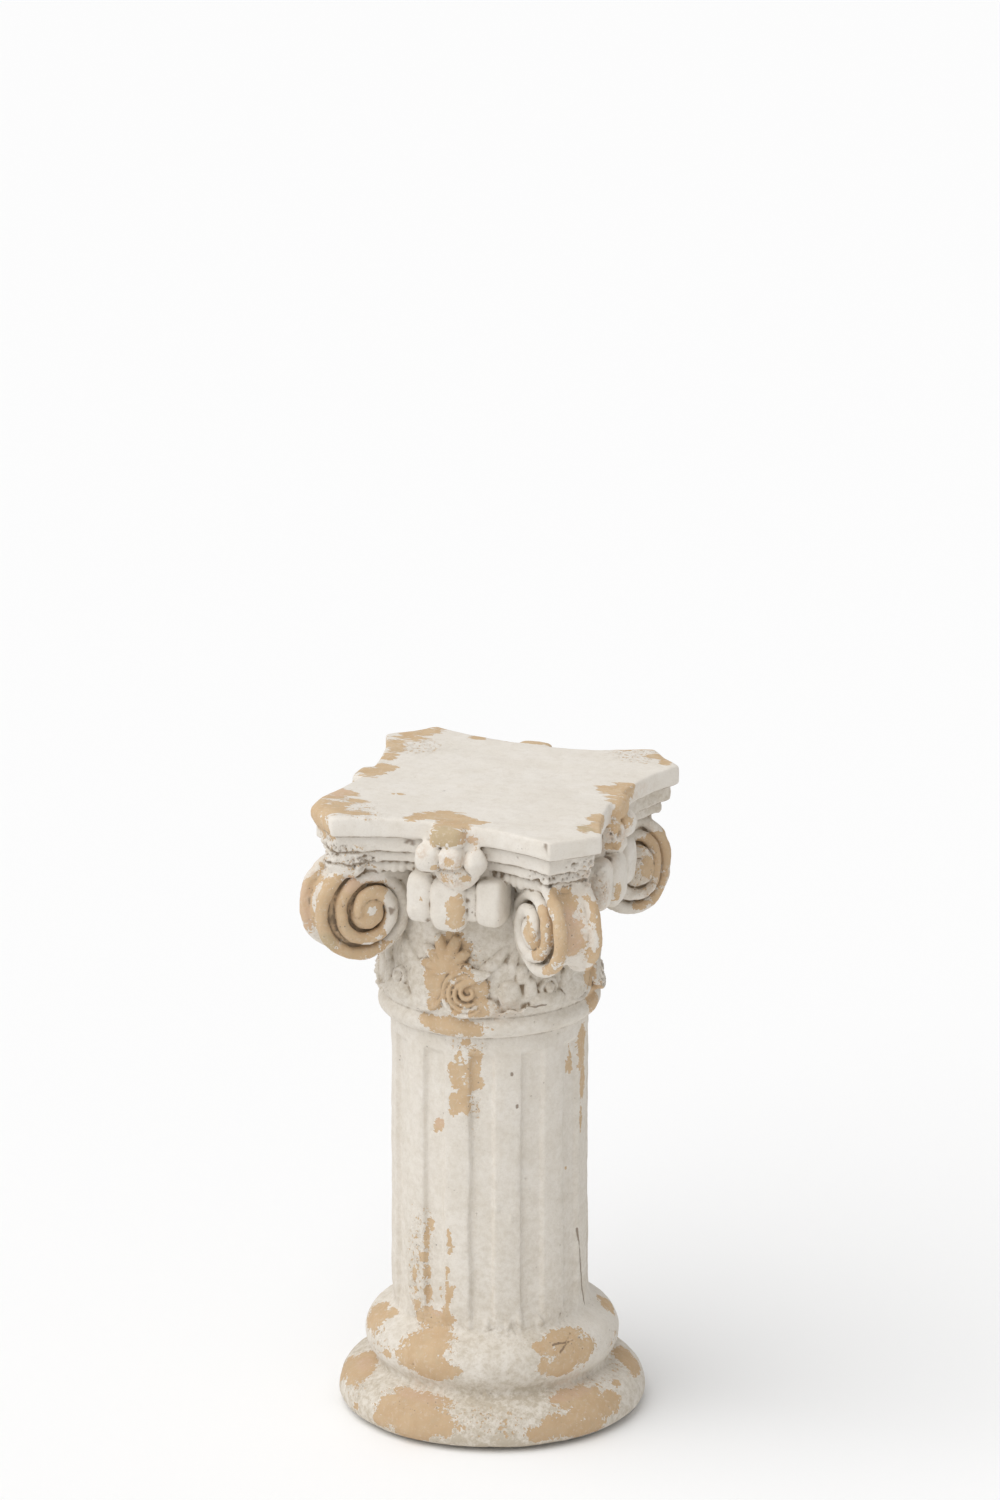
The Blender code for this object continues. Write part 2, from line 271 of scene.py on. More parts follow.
def roll(points, radii, normals, flatness=1.0, sides=14):
    """A roll of clay along points, its radius given at each, its height over the ground flattened."""
    rings = []
    for i, point in enumerate(points):
        ahead = points[min(i + 1, len(points) - 1)] - points[max(i - 1, 0)]
        across = ahead.cross(normals[i]).normalized()
        ring = []
        for j in range(sides):
            angle = 2 * math.pi * j / sides
            ring.append(point + across * (radii[i] * math.cos(angle))
                        + normals[i] * (flatness * radii[i] * math.sin(angle)))
        rings.append(ring)
    skin(rings)


def raise_volute(corner):
    """The whole scroll of one corner, counted from the front right one anticlockwise."""
    angle = math.radians(-45 + 90 * corner)
    out_axis = Vector((math.cos(angle), math.sin(angle), 0))
    side_axis = out_axis.cross(UP)
    losses = outward_loss[corner], downward_loss[corner]

    def at(out, rise, side):
        return out_axis * (volute_eye[0] + out) + UP * (volute_eye[1] + rise) + side_axis * side

    def disc_ring(inset, side):
        turns = [i / disc_steps for i in range(disc_steps)]
        outline = [scroll_point(turn, losses, inset - rope_at(turn)) for turn in turns]
        return [at(out, rise, side) for out, rise in outline]

    disc = [disc_ring(band_hollow * (1 - share ** 2) + disc_edge, share * disc_half)
            for share in band_shares]
    for inset in cone_insets:
        beyond = disc_half + disc_cone * (inset - disc_edge)
        disc.insert(0, disc_ring(inset, -beyond))
        disc.append(disc_ring(inset, beyond))
    skin(disc)
    steps = round(coil_turns * rope_steps)
    for side in (-1, 1):
        points, radii = [], []
        for i in range(steps + 1):
            turn = coil_turns * i / steps
            out, rise = scroll_point(turn, losses, 0)
            points.append(at(out, rise, side * (rope_offset + rope_climb * max(turn - flat_turn, 0))))
            squeezed = max(math.sin(2 * math.pi * turn), 0) * losses[0]
            radii.append(rope_at(turn) * (1 - thinned * squeezed))
        roll(points, radii, [side_axis * side] * len(points))
        pebble(at(eye_place[0], 0, side * eye_place[1]), (out_axis, side_axis, UP), eye_size, 0.9,
               steps=(12, 28))
    for out, rise, size in scroll_roots:
        pebble(at(out, rise, 0), (out_axis, side_axis, UP), size, 0.6)


for corner in range(4):
    raise_volute(corner)

# The flower in the middle of each side: a boss on the abacus, three beads and a drop under it, and
# three eggs below them, all pressed on as separate lumps before the mould was made. Each lump is
# given by its size, its place (along, outward, height) and its squareness.
boss = ((0.0350, 0.044, 0.0205), (0.0020, 0.1225, 0.6240), 0.40)
boss_end = ((0.0180, 0.014, 0.0150), (0.0238, 0.1225, 0.6218), 0.45)
flower_beads = [((0.0262, 0.026, 0.0285), (-0.0160, 0.134, 0.6015), 0.62),
                ((0.0250, 0.028, 0.0310), (0.0300, 0.132, 0.6000), 1.30),
                ((0.0215, 0.022, 0.0195), (0.0078, 0.138, 0.6040), 0.50),
                ((0.0520, 0.020, 0.0260), (0.0060, 0.123, 0.6040), 0.50)]
drop = ((0.0460, 0.026, 0.0350), (0.0105, 0.129, 0.5855), 1.40)
eggs = [((0.0270, 0.036, 0.0500), (-0.0295, 0.112, 0.5550), 0.46),
        ((0.0370, 0.036, 0.0540), (0.0000, 0.116, 0.5525), 0.56),
        ((0.0280, 0.036, 0.0480), (0.0405, 0.112, 0.5570), 0.44),
        ((0.0160, 0.026, 0.0400), (0.0225, 0.112, 0.5550), 0.50)]
backing = ((0.0780, 0.034, 0.0480), (0.0040, 0.103, 0.5700), 0.60)
# How far each side's flower is worn back, from the front anticlockwise
flower_wear = [0.0, 0.009, 0.003, 0.005]


def press_on(side, lumps, wear=0.0):
    """Press lumps on one side of the capital, worn back by so much."""
    for size, (along, outward, height), squareness in lumps:
        centre, axes = place_on(90 * side, along, outward - wear, height)
        pebble(centre, axes, size, squareness, steps=(16, 32))


for side in range(4):
    press_on(side, [boss, boss_end, drop] + flower_beads, flower_wear[side])
    press_on(side, [backing] + eggs)

# The low relief on the bell: on each side a palmette on a stem, a small scroll rolled out to either
# side of it, leaf blades between, and a row of worn leaf feet over the neck ring.
relief_turn = -5
palmette_root = (0.0005, 0.4745)
stem_knots = 8
# The lobes of the palmette, each by its lean from upright, its length and its radius
petals = [(-100, 0.021, 0.0048), (-74, 0.029, 0.0056), (-45, 0.034, 0.0060), (-16, 0.038, 0.0066),
          (12, 0.038, 0.0066), (40, 0.031, 0.0058), (68, 0.025, 0.0050)]
scroll_centre = (12.9, 0.4590)
scroll_size = 0.0225
# The strands of a scroll, each by its reach from the middle at these directions, and its thickness
strand_turns = [42, 65, 90, 135, 180, 225, 270, 310]
scroll_strands = [([0.0255, 0.0215, 0.0195, 0.0205, 0.0222, 0.0238, 0.0243, 0.0215], 0.0024),
                  ([0.0225, 0.0170, 0.0150, 0.0150, 0.0168, 0.0183, 0.0188, 0.0170], 0.0022),
                  ([0.0195, 0.0130, 0.0105, 0.0098, 0.0112, 0.0127, 0.0135, 0.0130], 0.0021)]
curl_turns = [55, 90, 150, 210, 270, 330, 400]
curl = ([0.0120, 0.0080, 0.0062, 0.0062, 0.0066, 0.0060, 0.0036], 0.0019)
coils = [(strand_turns, strand) for strand in scroll_strands] + [(curl_turns, curl)]
scroll_steps = 32
# How proud the scrolls stand: the left one of each pair is nearly worn away
scroll_height = {-1: 0.0012, 1: 0.0056}
# Leaf blades, each by its root and its tip as (along, height), how far it bows, and its radius
leaf_blades = [((0.031, 0.474), (0.058, 0.502), 0.004, 0.0058),
               ((-0.031, 0.474), (-0.058, 0.502), -0.004, 0.0058),
               ((0.066, 0.474), (0.070, 0.500), -0.004, 0.0045)]
# Buds: direction, height, half their width, and thickness
buds = [(57.3, 0.4575, 0.0046, 0.0150), (42.0, 0.4770, 0.0055, 0.0090), (70.5, 0.4640, 0.0058, 0.0090)]
# Soft swellings over the neck ring: direction, height, and their width and height
swellings = [(-13, 0.4480, 0.030, 0.032), (16, 0.4420, 0.050, 0.022), (35.1, 0.4550, 0.023, 0.025),
             (42.6, 0.4700, 0.013, 0.014), (46.5, 0.4550, 0.014, 0.028), (56, 0.4450, 0.040, 0.018)]
swelling_thickness = 0.0105
# Outlines of small leaves and a ring round the rosette, as (along, height) from the palmette, and
# how proud each stands
leaf_lines = [([(0.1230, 0.4655), (0.1285, 0.4680), (0.1330, 0.4650), (0.1325, 0.4580)], 0.0018),
              ([(0.1124, 0.4575), (0.1098, 0.4637), (0.1036, 0.4663), (0.0974, 0.4637),
                (0.0948, 0.4575), (0.0974, 0.4513), (0.1036, 0.4487), (0.1098, 0.4513),
                (0.1124, 0.4575)], 0.0012),
              ([(0.0560, 0.4360), (0.0640, 0.4400), (0.0740, 0.4370), (0.0800, 0.4420),
                (0.0900, 0.4405)], 0.0036)]
leaf_line_radius = 0.0018
leaf_steps = 12


def bell_radius(height):
    """Radius of the bell at a height."""
    return np.interp(height, [h for _, h in bell_outline], [r for r, _ in bell_outline])


def on_bell(facing, along, height, proud=0.0):
    """A point on the bell, measured along it from the direction faced, and the way out from it."""
    radius = bell_radius(height)
    angle = math.radians(facing) + along / radius
    out = Vector((math.sin(angle), -math.cos(angle), 0))
    return out * (radius + proud) + UP * height, out


def stud(direction, height, size, squareness, steps, sunk=0.0):
    """A lump pressed on the bell, its size given as width, thickness and height."""
    centre, out = on_bell(direction, 0, height)
    pebble(centre - out * sunk, (out.cross(UP), out, UP), size, squareness, steps=steps)


def trail(facing, path, radii, flatness=0.8, proud=0.0):
    """A roll laid on the bell along a path of (along, height)."""
    places = [on_bell(facing, along, height, proud) for along, height in path]
    roll([p for p, _ in places], radii, [out for _, out in places], flatness, sides=10)


def petal(facing, root, lean, length, radius):
    """A blunt petal: a roll that swells from its root, leaning away from upright."""
    steps = 10
    path, radii = [], []
    for i in range(steps + 1):
        t = i / steps
        bend = math.radians(lean * (0.75 + 0.35 * t))
        path.append((root[0] + length * t * math.sin(bend), root[1] + length * t * math.cos(bend)))
        radii.append(radius * math.sin(math.pi * (0.14 + 0.72 * t)) ** 0.7)
    trail(facing, path, radii, 0.9, proud=0.0022)


def small_scroll(facing, hand):
    """One small scroll, right (1) or left (-1) of the palmette: a low stud with strands coiled on it."""
    direction, level = scroll_centre
    stud(facing + hand * direction, level, (1.8 * scroll_size, 0.0070, 1.8 * scroll_size), 0.95, (14, 28))
    middle = hand * math.radians(direction) * bell_radius(level)
    for turns, (reaches, thickness) in coils:
        path, radii = [], []
        for i in range(scroll_steps + 1):
            share = i / scroll_steps
            at_turn = turns[0] + (turns[-1] - turns[0]) * i / scroll_steps
            reach = np.interp(at_turn, turns, reaches)
            path.append((middle + hand * reach * math.cos(math.radians(at_turn)),
                         level + reach * math.sin(math.radians(at_turn))))
            swell = math.sin(math.pi * min(1, 0.12 + 0.88 * share)) ** 0.5
            radii.append(thickness * (0.35 + 0.65 * swell))
        trail(facing, path, radii, 1.5, proud=scroll_height[hand])


def leaf_blade(facing, root, tip, bow, radius):
    """A bowed blade, thickest in its middle."""
    path, radii = [], []
    for i in range(leaf_steps + 1):
        bowed = bow * math.sin(math.pi * i / leaf_steps)
        path.append((root[0] + (tip[0] - root[0]) * i / leaf_steps + bowed,
                     root[1] + (tip[1] - root[1]) * i / leaf_steps))
        radii.append(radius * math.sin(math.pi * (0.16 + 0.74 * i / leaf_steps)))
    trail(facing, path, radii, 0.75)


def leaf_line(facing, line, proud):
    """A thin roll along a line of a few points."""
    shares = [i / (len(line) - 1) for i in range(len(line))]
    path = [[np.interp(i / leaf_steps, shares, values) for values in zip(*line)]
            for i in range(leaf_steps + 1)]
    trail(facing, path, [leaf_line_radius] * len(path), 1.0, proud=proud)


for side in range(4):
    facing = 90 * side + relief_turn
    for lean, length, radius in petals:
        petal(facing, palmette_root, lean, length, radius)
    stem = [(0.0005 - 0.0016 * i, palmette_root[1] + 0.006 - 0.0056 * i) for i in range(stem_knots)]
    trail(facing, stem, [0.0085 - 0.0005 * i for i in range(stem_knots)], 0.7)
    for hand in (-1, 1):
        small_scroll(facing, hand)
    for root, tip, bow, radius in leaf_blades:
        leaf_blade(facing, root, tip, bow, radius)
    for line, proud in leaf_lines:
        leaf_line(facing, line, proud)
    for direction, height, half, thickness in buds:
        stud(facing + direction, height, (2 * half, thickness, 2.3 * half), 0.95, (10, 20))
    for direction, height, wide, tall in swellings:
        stud(facing + direction, height, (wide, swelling_thickness, tall), 0.85, (14, 28), sunk=0.001)

# Drips of plaster that ran down the shaft and set: each by its top and its foot, as direction and
# height, and its radius.
drips = [((21.6, 0.237), (24.8, 0.228), 0.0032), ((31.0, 0.226), (33.0, 0.216), 0.0026),
         ((43.2, 0.250), (43.4, 0.247), 0.0028), ((41.9, 0.153), (42.0, 0.150), 0.0032),
         ((32.1, 0.330), (31.6, 0.285), 0.0013), ((27.0, 0.352), (29.5, 0.325), 0.0012),
         ((16.0, 0.118), (18.0, 0.108), 0.0036), ((30.0, 0.116), (28.0, 0.107), 0.0034),
         ((36.0, 0.122), (37.0, 0.106), 0.0040), ((5.0, 0.114), (7.0, 0.106), 0.0034),
         ((48.0, 0.118), (50.0, 0.106), 0.0038), ((-38.0, 0.114), (-36.0, 0.104), 0.0034)]
drip_steps = 8
drip_sunk = 0.0004
for (from_turn, from_height), (to_turn, to_height), thick in drips:
    path, outwards, radii = [], [], []
    for i in range(drip_steps + 1):
        angle = math.radians(from_turn + (to_turn - from_turn) * i / drip_steps)
        outwards.append(Vector((math.sin(angle), -math.cos(angle), 0)))
        height = from_height + (to_height - from_height) * i / drip_steps
        path.append(outwards[-1] * (shaft_radius - drip_sunk) + UP * height)
        radii.append(thick * math.sin(math.pi * (0.15 + 0.75 * i / drip_steps)))
    roll(path, radii, outwards, 0.8, sides=8)

# The casting out of its mould: every lump made one skin, then the marks of the mould, of handling
# and of weather worked into it, and its flutes, which the pattern maker scraped in last.
cell = 0.0012
flute_count = 12
flute_depth = 0.0041
flute_half_width = 0.0125
flute_bottom = 0.113
flute_top = 0.391
target_triangles = 190000

lumps = bpy.data.meshes.new("lumps")
clay.to_mesh(lumps)
clay.free()
model = bpy.data.objects.new("lumps", lumps)
bpy.context.scene.collection.objects.link(model)
one_skin = model.modifiers.new("One skin", 'REMESH')
one_skin.mode = 'VOXEL'
one_skin.voxel_size = cell
bpy.context.view_layer.update()
cast = bpy.data.meshes.new_from_object(model.evaluated_get(bpy.context.evaluated_depsgraph_get()))
bpy.data.objects.remove(model)


def read(mesh):
    """Points, outward directions and edges of a mesh, as arrays."""
    points = np.empty(len(mesh.vertices) * 3, np.float32)
    mesh.vertices.foreach_get("co", points)
    outward = np.empty(len(mesh.vertices) * 3, np.float32)
    mesh.vertex_normals.foreach_get("vector", outward)
    edges = np.empty(len(mesh.edges) * 2, np.int32)
    mesh.edges.foreach_get("vertices", edges)
    return points.reshape(-1, 3).astype(float), outward.reshape(-1, 3).astype(float), edges.reshape(-1, 2)


def eased(values, edges, rounds, share=0.5):
    """Values (or points) drawn towards the mean of their neighbours, so many times and so much."""
    flat = values.reshape(len(values), -1)
    count = np.bincount(edges.ravel(), minlength=len(flat))
    for _ in range(rounds):
        mean = np.empty_like(flat)
        for k in range(flat.shape[1]):
            mean[:, k] = (flat[:, k] + np.bincount(edges[:, 0], flat[edges[:, 1], k], len(flat))
                          + np.bincount(edges[:, 1], flat[edges[:, 0], k], len(flat))) / (count + 1)
        flat = flat + share * (mean - flat)
    return flat.reshape(values.shape)


def melted(points, edges, weight, rounds):
    """Points drawn together where the weight is over 0, and in its measure."""
    inside = weight > 0
    number = np.cumsum(inside) - 1
    soft = points.copy()
    soft[inside] = eased(points[inside], number[edges[inside[edges].all(axis=1)]], rounds)
    return points + weight[:, None] * (soft - points)


def unevenness(points, size, seed, octaves=3):
    """Smooth chance unevenness, about -1 to 1, with lumps of this size and finer ones on them."""
    draw = np.random.default_rng(seed)
    total, weight, whole = np.zeros(len(points)), 1.0, 0.0
    for _ in range(octaves):
        lattice = draw.uniform(-1, 1, (32, 32, 32))
        place = points / size
        corner = np.floor(place).astype(int)
        part = place - corner
        part = part * part * (3 - 2 * part)
        for step in itertools.product((0, 1), repeat=3):
            near = np.prod([part[:, k] if step[k] else 1 - part[:, k] for k in range(3)], axis=0)
            x, y, z = ((corner + step) % 32).T
            total += weight * near * lattice[x, y, z]
        whole += weight
        size, weight = size / 2.1, weight * 0.55
    return 1.6 * total / whole


def rise(value, low, high):
    """0 below low, 1 above high, and a smooth step between."""
    t = np.clip((value - low) / (high - low), 0, 1)
    return t * t * (3 - 2 * t)


def span(value, low, full, still, high):
    """1 from full to still, falling smoothly to 0 at low and at high."""
    return rise(value, low, full) * (1 - rise(value, still, high))


def pocks(points, size, seed, share):
    """Distance to the nearest chance spot, in sizes: one spot at most in each cube of this size."""
    draw = np.random.default_rng(seed)
    place = draw.uniform(0.1, 0.9, (32, 32, 32, 3))
    absent = np.where(draw.uniform(0, 1, (32, 32, 32)) < share, 0.0, 9.0)
    cube = np.floor(points / size).astype(int)
    nearest = np.full(len(points), 9.0)
    for step in itertools.product((-1, 0, 1), repeat=3):
        x, y, z = ((cube + step) % 32).T
        gap = points / size - (cube + step) - place[x, y, z]
        nearest = np.minimum(nearest, np.sqrt(np.einsum("ij,ij->i", gap, gap)) + absent[x, y, z])
    return nearest


def spot_field(points, spots):
    """How far inside the nearest spot each point is: 1 at its middle, 0 at its edge, then below 0.

    A spot is an ellipsoid: its direction from the front in degrees, and then in millimetres its
    distance from the axis, its height, and half its width across, in and out, and up and down.
    """
    best = np.full(len(points), -1.0)
    for direction, *millimetres in spots:
        distance, height, across, inward, upward = [length / 1000 for length in millimetres]
        turn = math.radians(direction)
        out = np.array((math.sin(turn), -math.cos(turn), 0))
        east = np.array((math.cos(turn), math.sin(turn), 0))
        gap = points - (out * distance + np.array((0, 0, floor_height + height)))
        reach = np.sqrt((gap @ east / across) ** 2 + (gap @ out / inward) ** 2 + (gap[:, 2] / upward) ** 2)
        best = np.maximum(best, 1 - reach)
    return best


def rework(mesh, points):
    """Give the mesh its changed points, and read it again."""
    mesh.vertices.foreach_set("co", points.astype(np.float32).ravel())
    mesh.update()
    return read(mesh)


# The small steps of the one skin are eased away, and what that took off the edges is given back
points, outward, edges = read(cast)
points = eased(eased(points, edges, 3, 0.5), edges, 2, -0.35)

# The left front corner of the abacus was knocked round, and the others a little
knocked = [
    (-48, 188, 626, 50, 36, 32), (45, 190, 634, 16, 10, 8), (135, 190, 634, 20, 12, 10),
    (-135, 190, 632, 24, 16, 14),
]
points = melted(points, edges, rise(spot_field(points, knocked[:1]), 0.0, 0.6), 300)
points = melted(points, edges, rise(spot_field(points, knocked[1:]), 0.0, 0.5), 60)
# The ends of the lower bands were broken or filled
broken = [
    (54, 168, 596, 26, 30, 16), (50, 184, 604, 34, 22, 11), (-40, 172, 592, 24, 28, 12),
    (45, 174, 578, 24, 22, 14), (135, 174, 578, 24, 22, 14), (-135, 174, 578, 24, 22, 14),
]
points = melted(points, edges, rise(spot_field(points, broken), 0.0, 0.5), 60)
# The slab is worn smooth
points = melted(points, edges, rise(points[:, 2], top_height - 0.026, top_height - 0.018), 12)

# The throat between the foot and the torus was filled soft with plaster
distance = np.hypot(points[:, 0], points[:, 1])
height = points[:, 2] - floor_height
throat = span(height, 0.036, 0.044, 0.056, 0.066) * rise(distance, 0.096, 0.104)
points = melted(points, edges, throat, 60)

# Flutes: shallow channels scraped between flat lands, a little deeper at their left edge
azimuth = np.arctan2(points[:, 0], -points[:, 1])
distance = np.hypot(points[:, 0], points[:, 1])
height = points[:, 2] - floor_height
pitch = 2 * math.pi / flute_count
wander = 0.0010 * unevenness(points, 0.07, 3, 2)
across = (((azimuth / pitch) % 1 - 0.5) * pitch * shaft_radius + wander) / flute_half_width
channel = span(across, -1.06, -0.80, 0.70, 1.06) * (1 - 0.18 * across)
ends = (rise(height + 2 * wander, flute_bottom - 0.006, flute_bottom + 0.014)
        * (1 - rise(height + wander, flute_top - 0.005, flute_top + 0.001)))
on_shaft = 1 - rise(np.abs(distance - shaft_radius), 0.002, 0.004)
radial = np.stack([points[:, 0], points[:, 1], 0 * height], 1) / distance[:, None].clip(1e-6)
points -= radial * (flute_depth * channel * ends * on_shaft)[:, None]

# Rough patches of plaster that never filled
points, outward, edges = rework(cast, points)
rough_spots = [
    (-41, 174, 596, 30, 32, 14), (-43, 185, 585, 14, 18, 30), (-33, 156, 586, 20, 22, 9),
    (38, 160, 590, 28, 30, 10), (50, 164, 590, 34, 36, 18), (49, 180, 605, 26, 20, 7),
    (66, 150, 575, 30, 36, 36), (122, 160, 512, 22, 24, 10), (10.5, 126, 553, 7, 14, 22),
    (80, 138, 600, 12, 14, 20), (-130, 160, 592, 34, 30, 14), (9, 106, 496, 14, 14, 22),
    (16, 106, 484, 10, 14, 8), (60, 100, 112, 34, 16, 12), (-20, 100, 112, 34, 16, 12),
    (70, 122, 52, 40, 12, 10), (-48, 112, 92, 22, 20, 18), (14, 122, 50, 30, 12, 8),
    (24, 100, 108, 34, 16, 10), (10, 95.5, 325, 12, 10, 40), (-26, 95.5, 160, 18, 10, 50),
    (10, 100, 398, 20, 10, 10),
]
rough = rise(spot_field(points, rough_spots), 0.0, 0.4)
proud = np.einsum("ij,ij->i", points - eased(points, edges, 16), outward)

# Unevenness of the whole mould, and more of it in the carving, which stands out the sharper
shift = 0.0006 * unevenness(points, 0.045, 5, 2) + 0.00030 * unevenness(points, 0.012, 6, 3)
carved = rise(height, 0.435, 0.450) * rise(distance, 0.096, 0.100) * (1 - rise(height, 0.608, 0.616))
shift += carved * (0.0008 * unevenness(points, 0.017, 12, 2) + 0.0005 * unevenness(points, 0.008, 13, 2))
shift += carved * 0.8 * np.clip(proud, -0.0010, 0.0012)

# Edges worn back here and there, with small bites out of them
edge_wear = rise(proud, 0.0005, 0.0018)
shift -= edge_wear * (0.0016 * rise(unevenness(points, 0.018, 7, 3), -0.1, 0.6)
                      + 0.0020 * rise(unevenness(points, 0.009, 14, 3), 0.25, 0.60))

# Crumbs and holes of the rough patches, and a few pits that air left in the plain parts
deep = rough * (0.35 + 0.65 * rise(height, 0.560, 0.580))
shift += deep * (0.0014 * unevenness(points, 0.0100, 15, 2) + 0.0026 * unevenness(points, 0.0060, 8, 3))
holed = deep * rise(height, 0.43, 0.45) * (1 - rise(outward[:, 2], 0.3, 0.6))
shift -= holed * 0.0036 * (1 - rise(pocks(points, 0.0060, 5, 0.65), 0.14, 0.38))
shift -= 0.0012 * (1 - carved) * (1 - rise(pocks(points, 0.016, 10, 0.20), 0.04, 0.10))

# The underside stays flat
standing = 1 - rise(np.abs(outward[:, 2]), 0.9, 0.98) * (height < 0.002)
points += outward * (shift * standing)[:, None]

# The shaft and neck stand a little to the left of the rest, the neck ring sags to the left, and the
# back right corner of the abacus reaches out a little more than the others
to_the_right = np.array((0.943, 0.334))
lean = span(height, 0.10, 0.13, 0.46, 0.54) * 0.0024
points[:, :2] -= lean[:, None] * to_the_right
neck = span(height, 0.396, 0.412, 0.428, 0.446) * (distance > 0.05)
points[:, 2] += neck * 0.0020 * np.sin(azimuth + 0.2)
far_corner = rise(points[:, 0] + points[:, 1], 0.215, 0.250) * rise(height, 0.575, 0.600)
points[:, :2] += 0.0028 * far_corner[:, None]

# A hole over the front right scroll was stopped with plaster
stopped = rise(spot_field(points, [(48.8, 164, 578, 9, 12, 9)]), 0.0, 0.4)
points = melted(points, edges, stopped, 60)

# Where dirt gathers and painted shade darkens the paint: in narrow hollows, and less in broad ones
points, outward, edges = rework(cast, points)
proud = np.einsum("ij,ij->i", points - eased(points, edges, 10), outward)
sunk = np.einsum("ij,ij->i", eased(points, edges, 90) - points, outward)
fine_hollow = eased(np.clip(-proud / 0.0007, 0, 1), edges, 1)
broad_hollow = np.clip(sunk / 0.0030, 0, 1) * (1 - 0.5 * rise(height, 0.572, 0.580))
# A painted shadow lies as a dark line just under the edge of each band of the abacus too, near the corners,
# but there is little shade or dirt on the shaft
near_corner = rise(np.minimum(np.abs(points[:, 0]), np.abs(points[:, 1])), 0.036, 0.046)
for drop_down in np.cumsum([thickness for thickness, _, _ in slab_bands]):
    below = top_height - floor_height - drop_down - height
    line = span(below, -0.0012, 0.0004, 0.0012, 0.0050) * near_corner
    fine_hollow = np.maximum(fine_hollow, 0.85 * line * (distance > 0.110))
plain_shaft = span(height, 0.112, 0.122, 0.396, 0.404) * (distance < 0.0985)
fine_hollow *= 1 - 0.9 * plain_shaft
broad_hollow *= 1 - 0.8 * plain_shaft


def keep(mesh, name, values):
    """Store one number for each point of the casting, for the paint to read."""
    layer = mesh.attributes.get(name) or mesh.attributes.new(name, 'FLOAT', 'POINT')
    layer.data.foreach_set("value", values.astype(np.float32))


# Dirt and painted shade of the narrow and broad hollows, kept for the paint
keep(cast, "grime_and_shade", fine_hollow)
keep(cast, "hollow", broad_hollow)
casting = bpy.data.objects.new("pedestal_casting", cast)
bpy.context.scene.collection.objects.link(casting)
triangles = sum(len(face.vertices) - 2 for face in cast.polygons)
thin = casting.modifiers.new("Thin out", 'DECIMATE')
thin.ratio = min(1, target_triangles / triangles)
bpy.context.view_layer.update()
finished = bpy.data.meshes.new_from_object(casting.evaluated_get(bpy.context.evaluated_depsgraph_get()))
casting.modifiers.clear()
casting.data = finished

# The few loose crumbs that stayed apart from the casting are brushed away
crumb_points = 1000
body = bmesh.new()
body.from_mesh(finished)
waiting = set(body.verts)
crumbs = []
while waiting:
    reached = [waiting.pop()]
    for vertex in reached:
        for edge in vertex.link_edges:
            other = edge.other_vert(vertex)
            if other in waiting:
                waiting.remove(other)
                reached.append(other)
    if len(reached) < crumb_points:
        crumbs += reached
bmesh.ops.delete(body, geom=crumbs, context='VERTS')
body.to_mesh(finished)
body.free()
finished.shade_smooth()


# The finish: chalky off-white paint over the tan cement, brushed on in one coat after the casting
# had dried. It has flaked off in patches where it was knocked or stood wet, and dirt and painted shade
# darken its hollows.
# The flaked patches come first: on the flat top, each by its place and half its width along and
# across the way that it was rubbed, in millimetres, and then everywhere else.
top_spots = [
    (-122, 110, 18, 20), (-127, 80, 10, 22), (-111, 138, 16, 12), (-122, 44, 9, 12), (-114, 16, 12, 10),
    (-121, -3, 14, 15), (-110, 6, 9, 7), (-140, -104, 13, 30), (-129, -75, 18, 18), (-117, -119, 15, 17),
    (-97, -128, 20, 9), (-105, -93, 10, 8), (-30, -116, 14, 9), (-16, -104, 14, 13), (4, -110, 15, 15),
    (24, -116, 12, 7), (4, 132, 22, 7), (-20, 131, 14, 6), (122, 130, 14, 8), (96, 143, 20, 4),
    (136, 116, 6, 12), (112, 22, 12, 18), (126, 10, 14, 26), (120, 34, 14, 10), (136, 0, 10, 18),
    (128, -61, 11, 9), (139, -88, 9, 18), (128, -98, 7, 11), (-60, 128, 10, 7), (-75, -60, 7, 3),
]
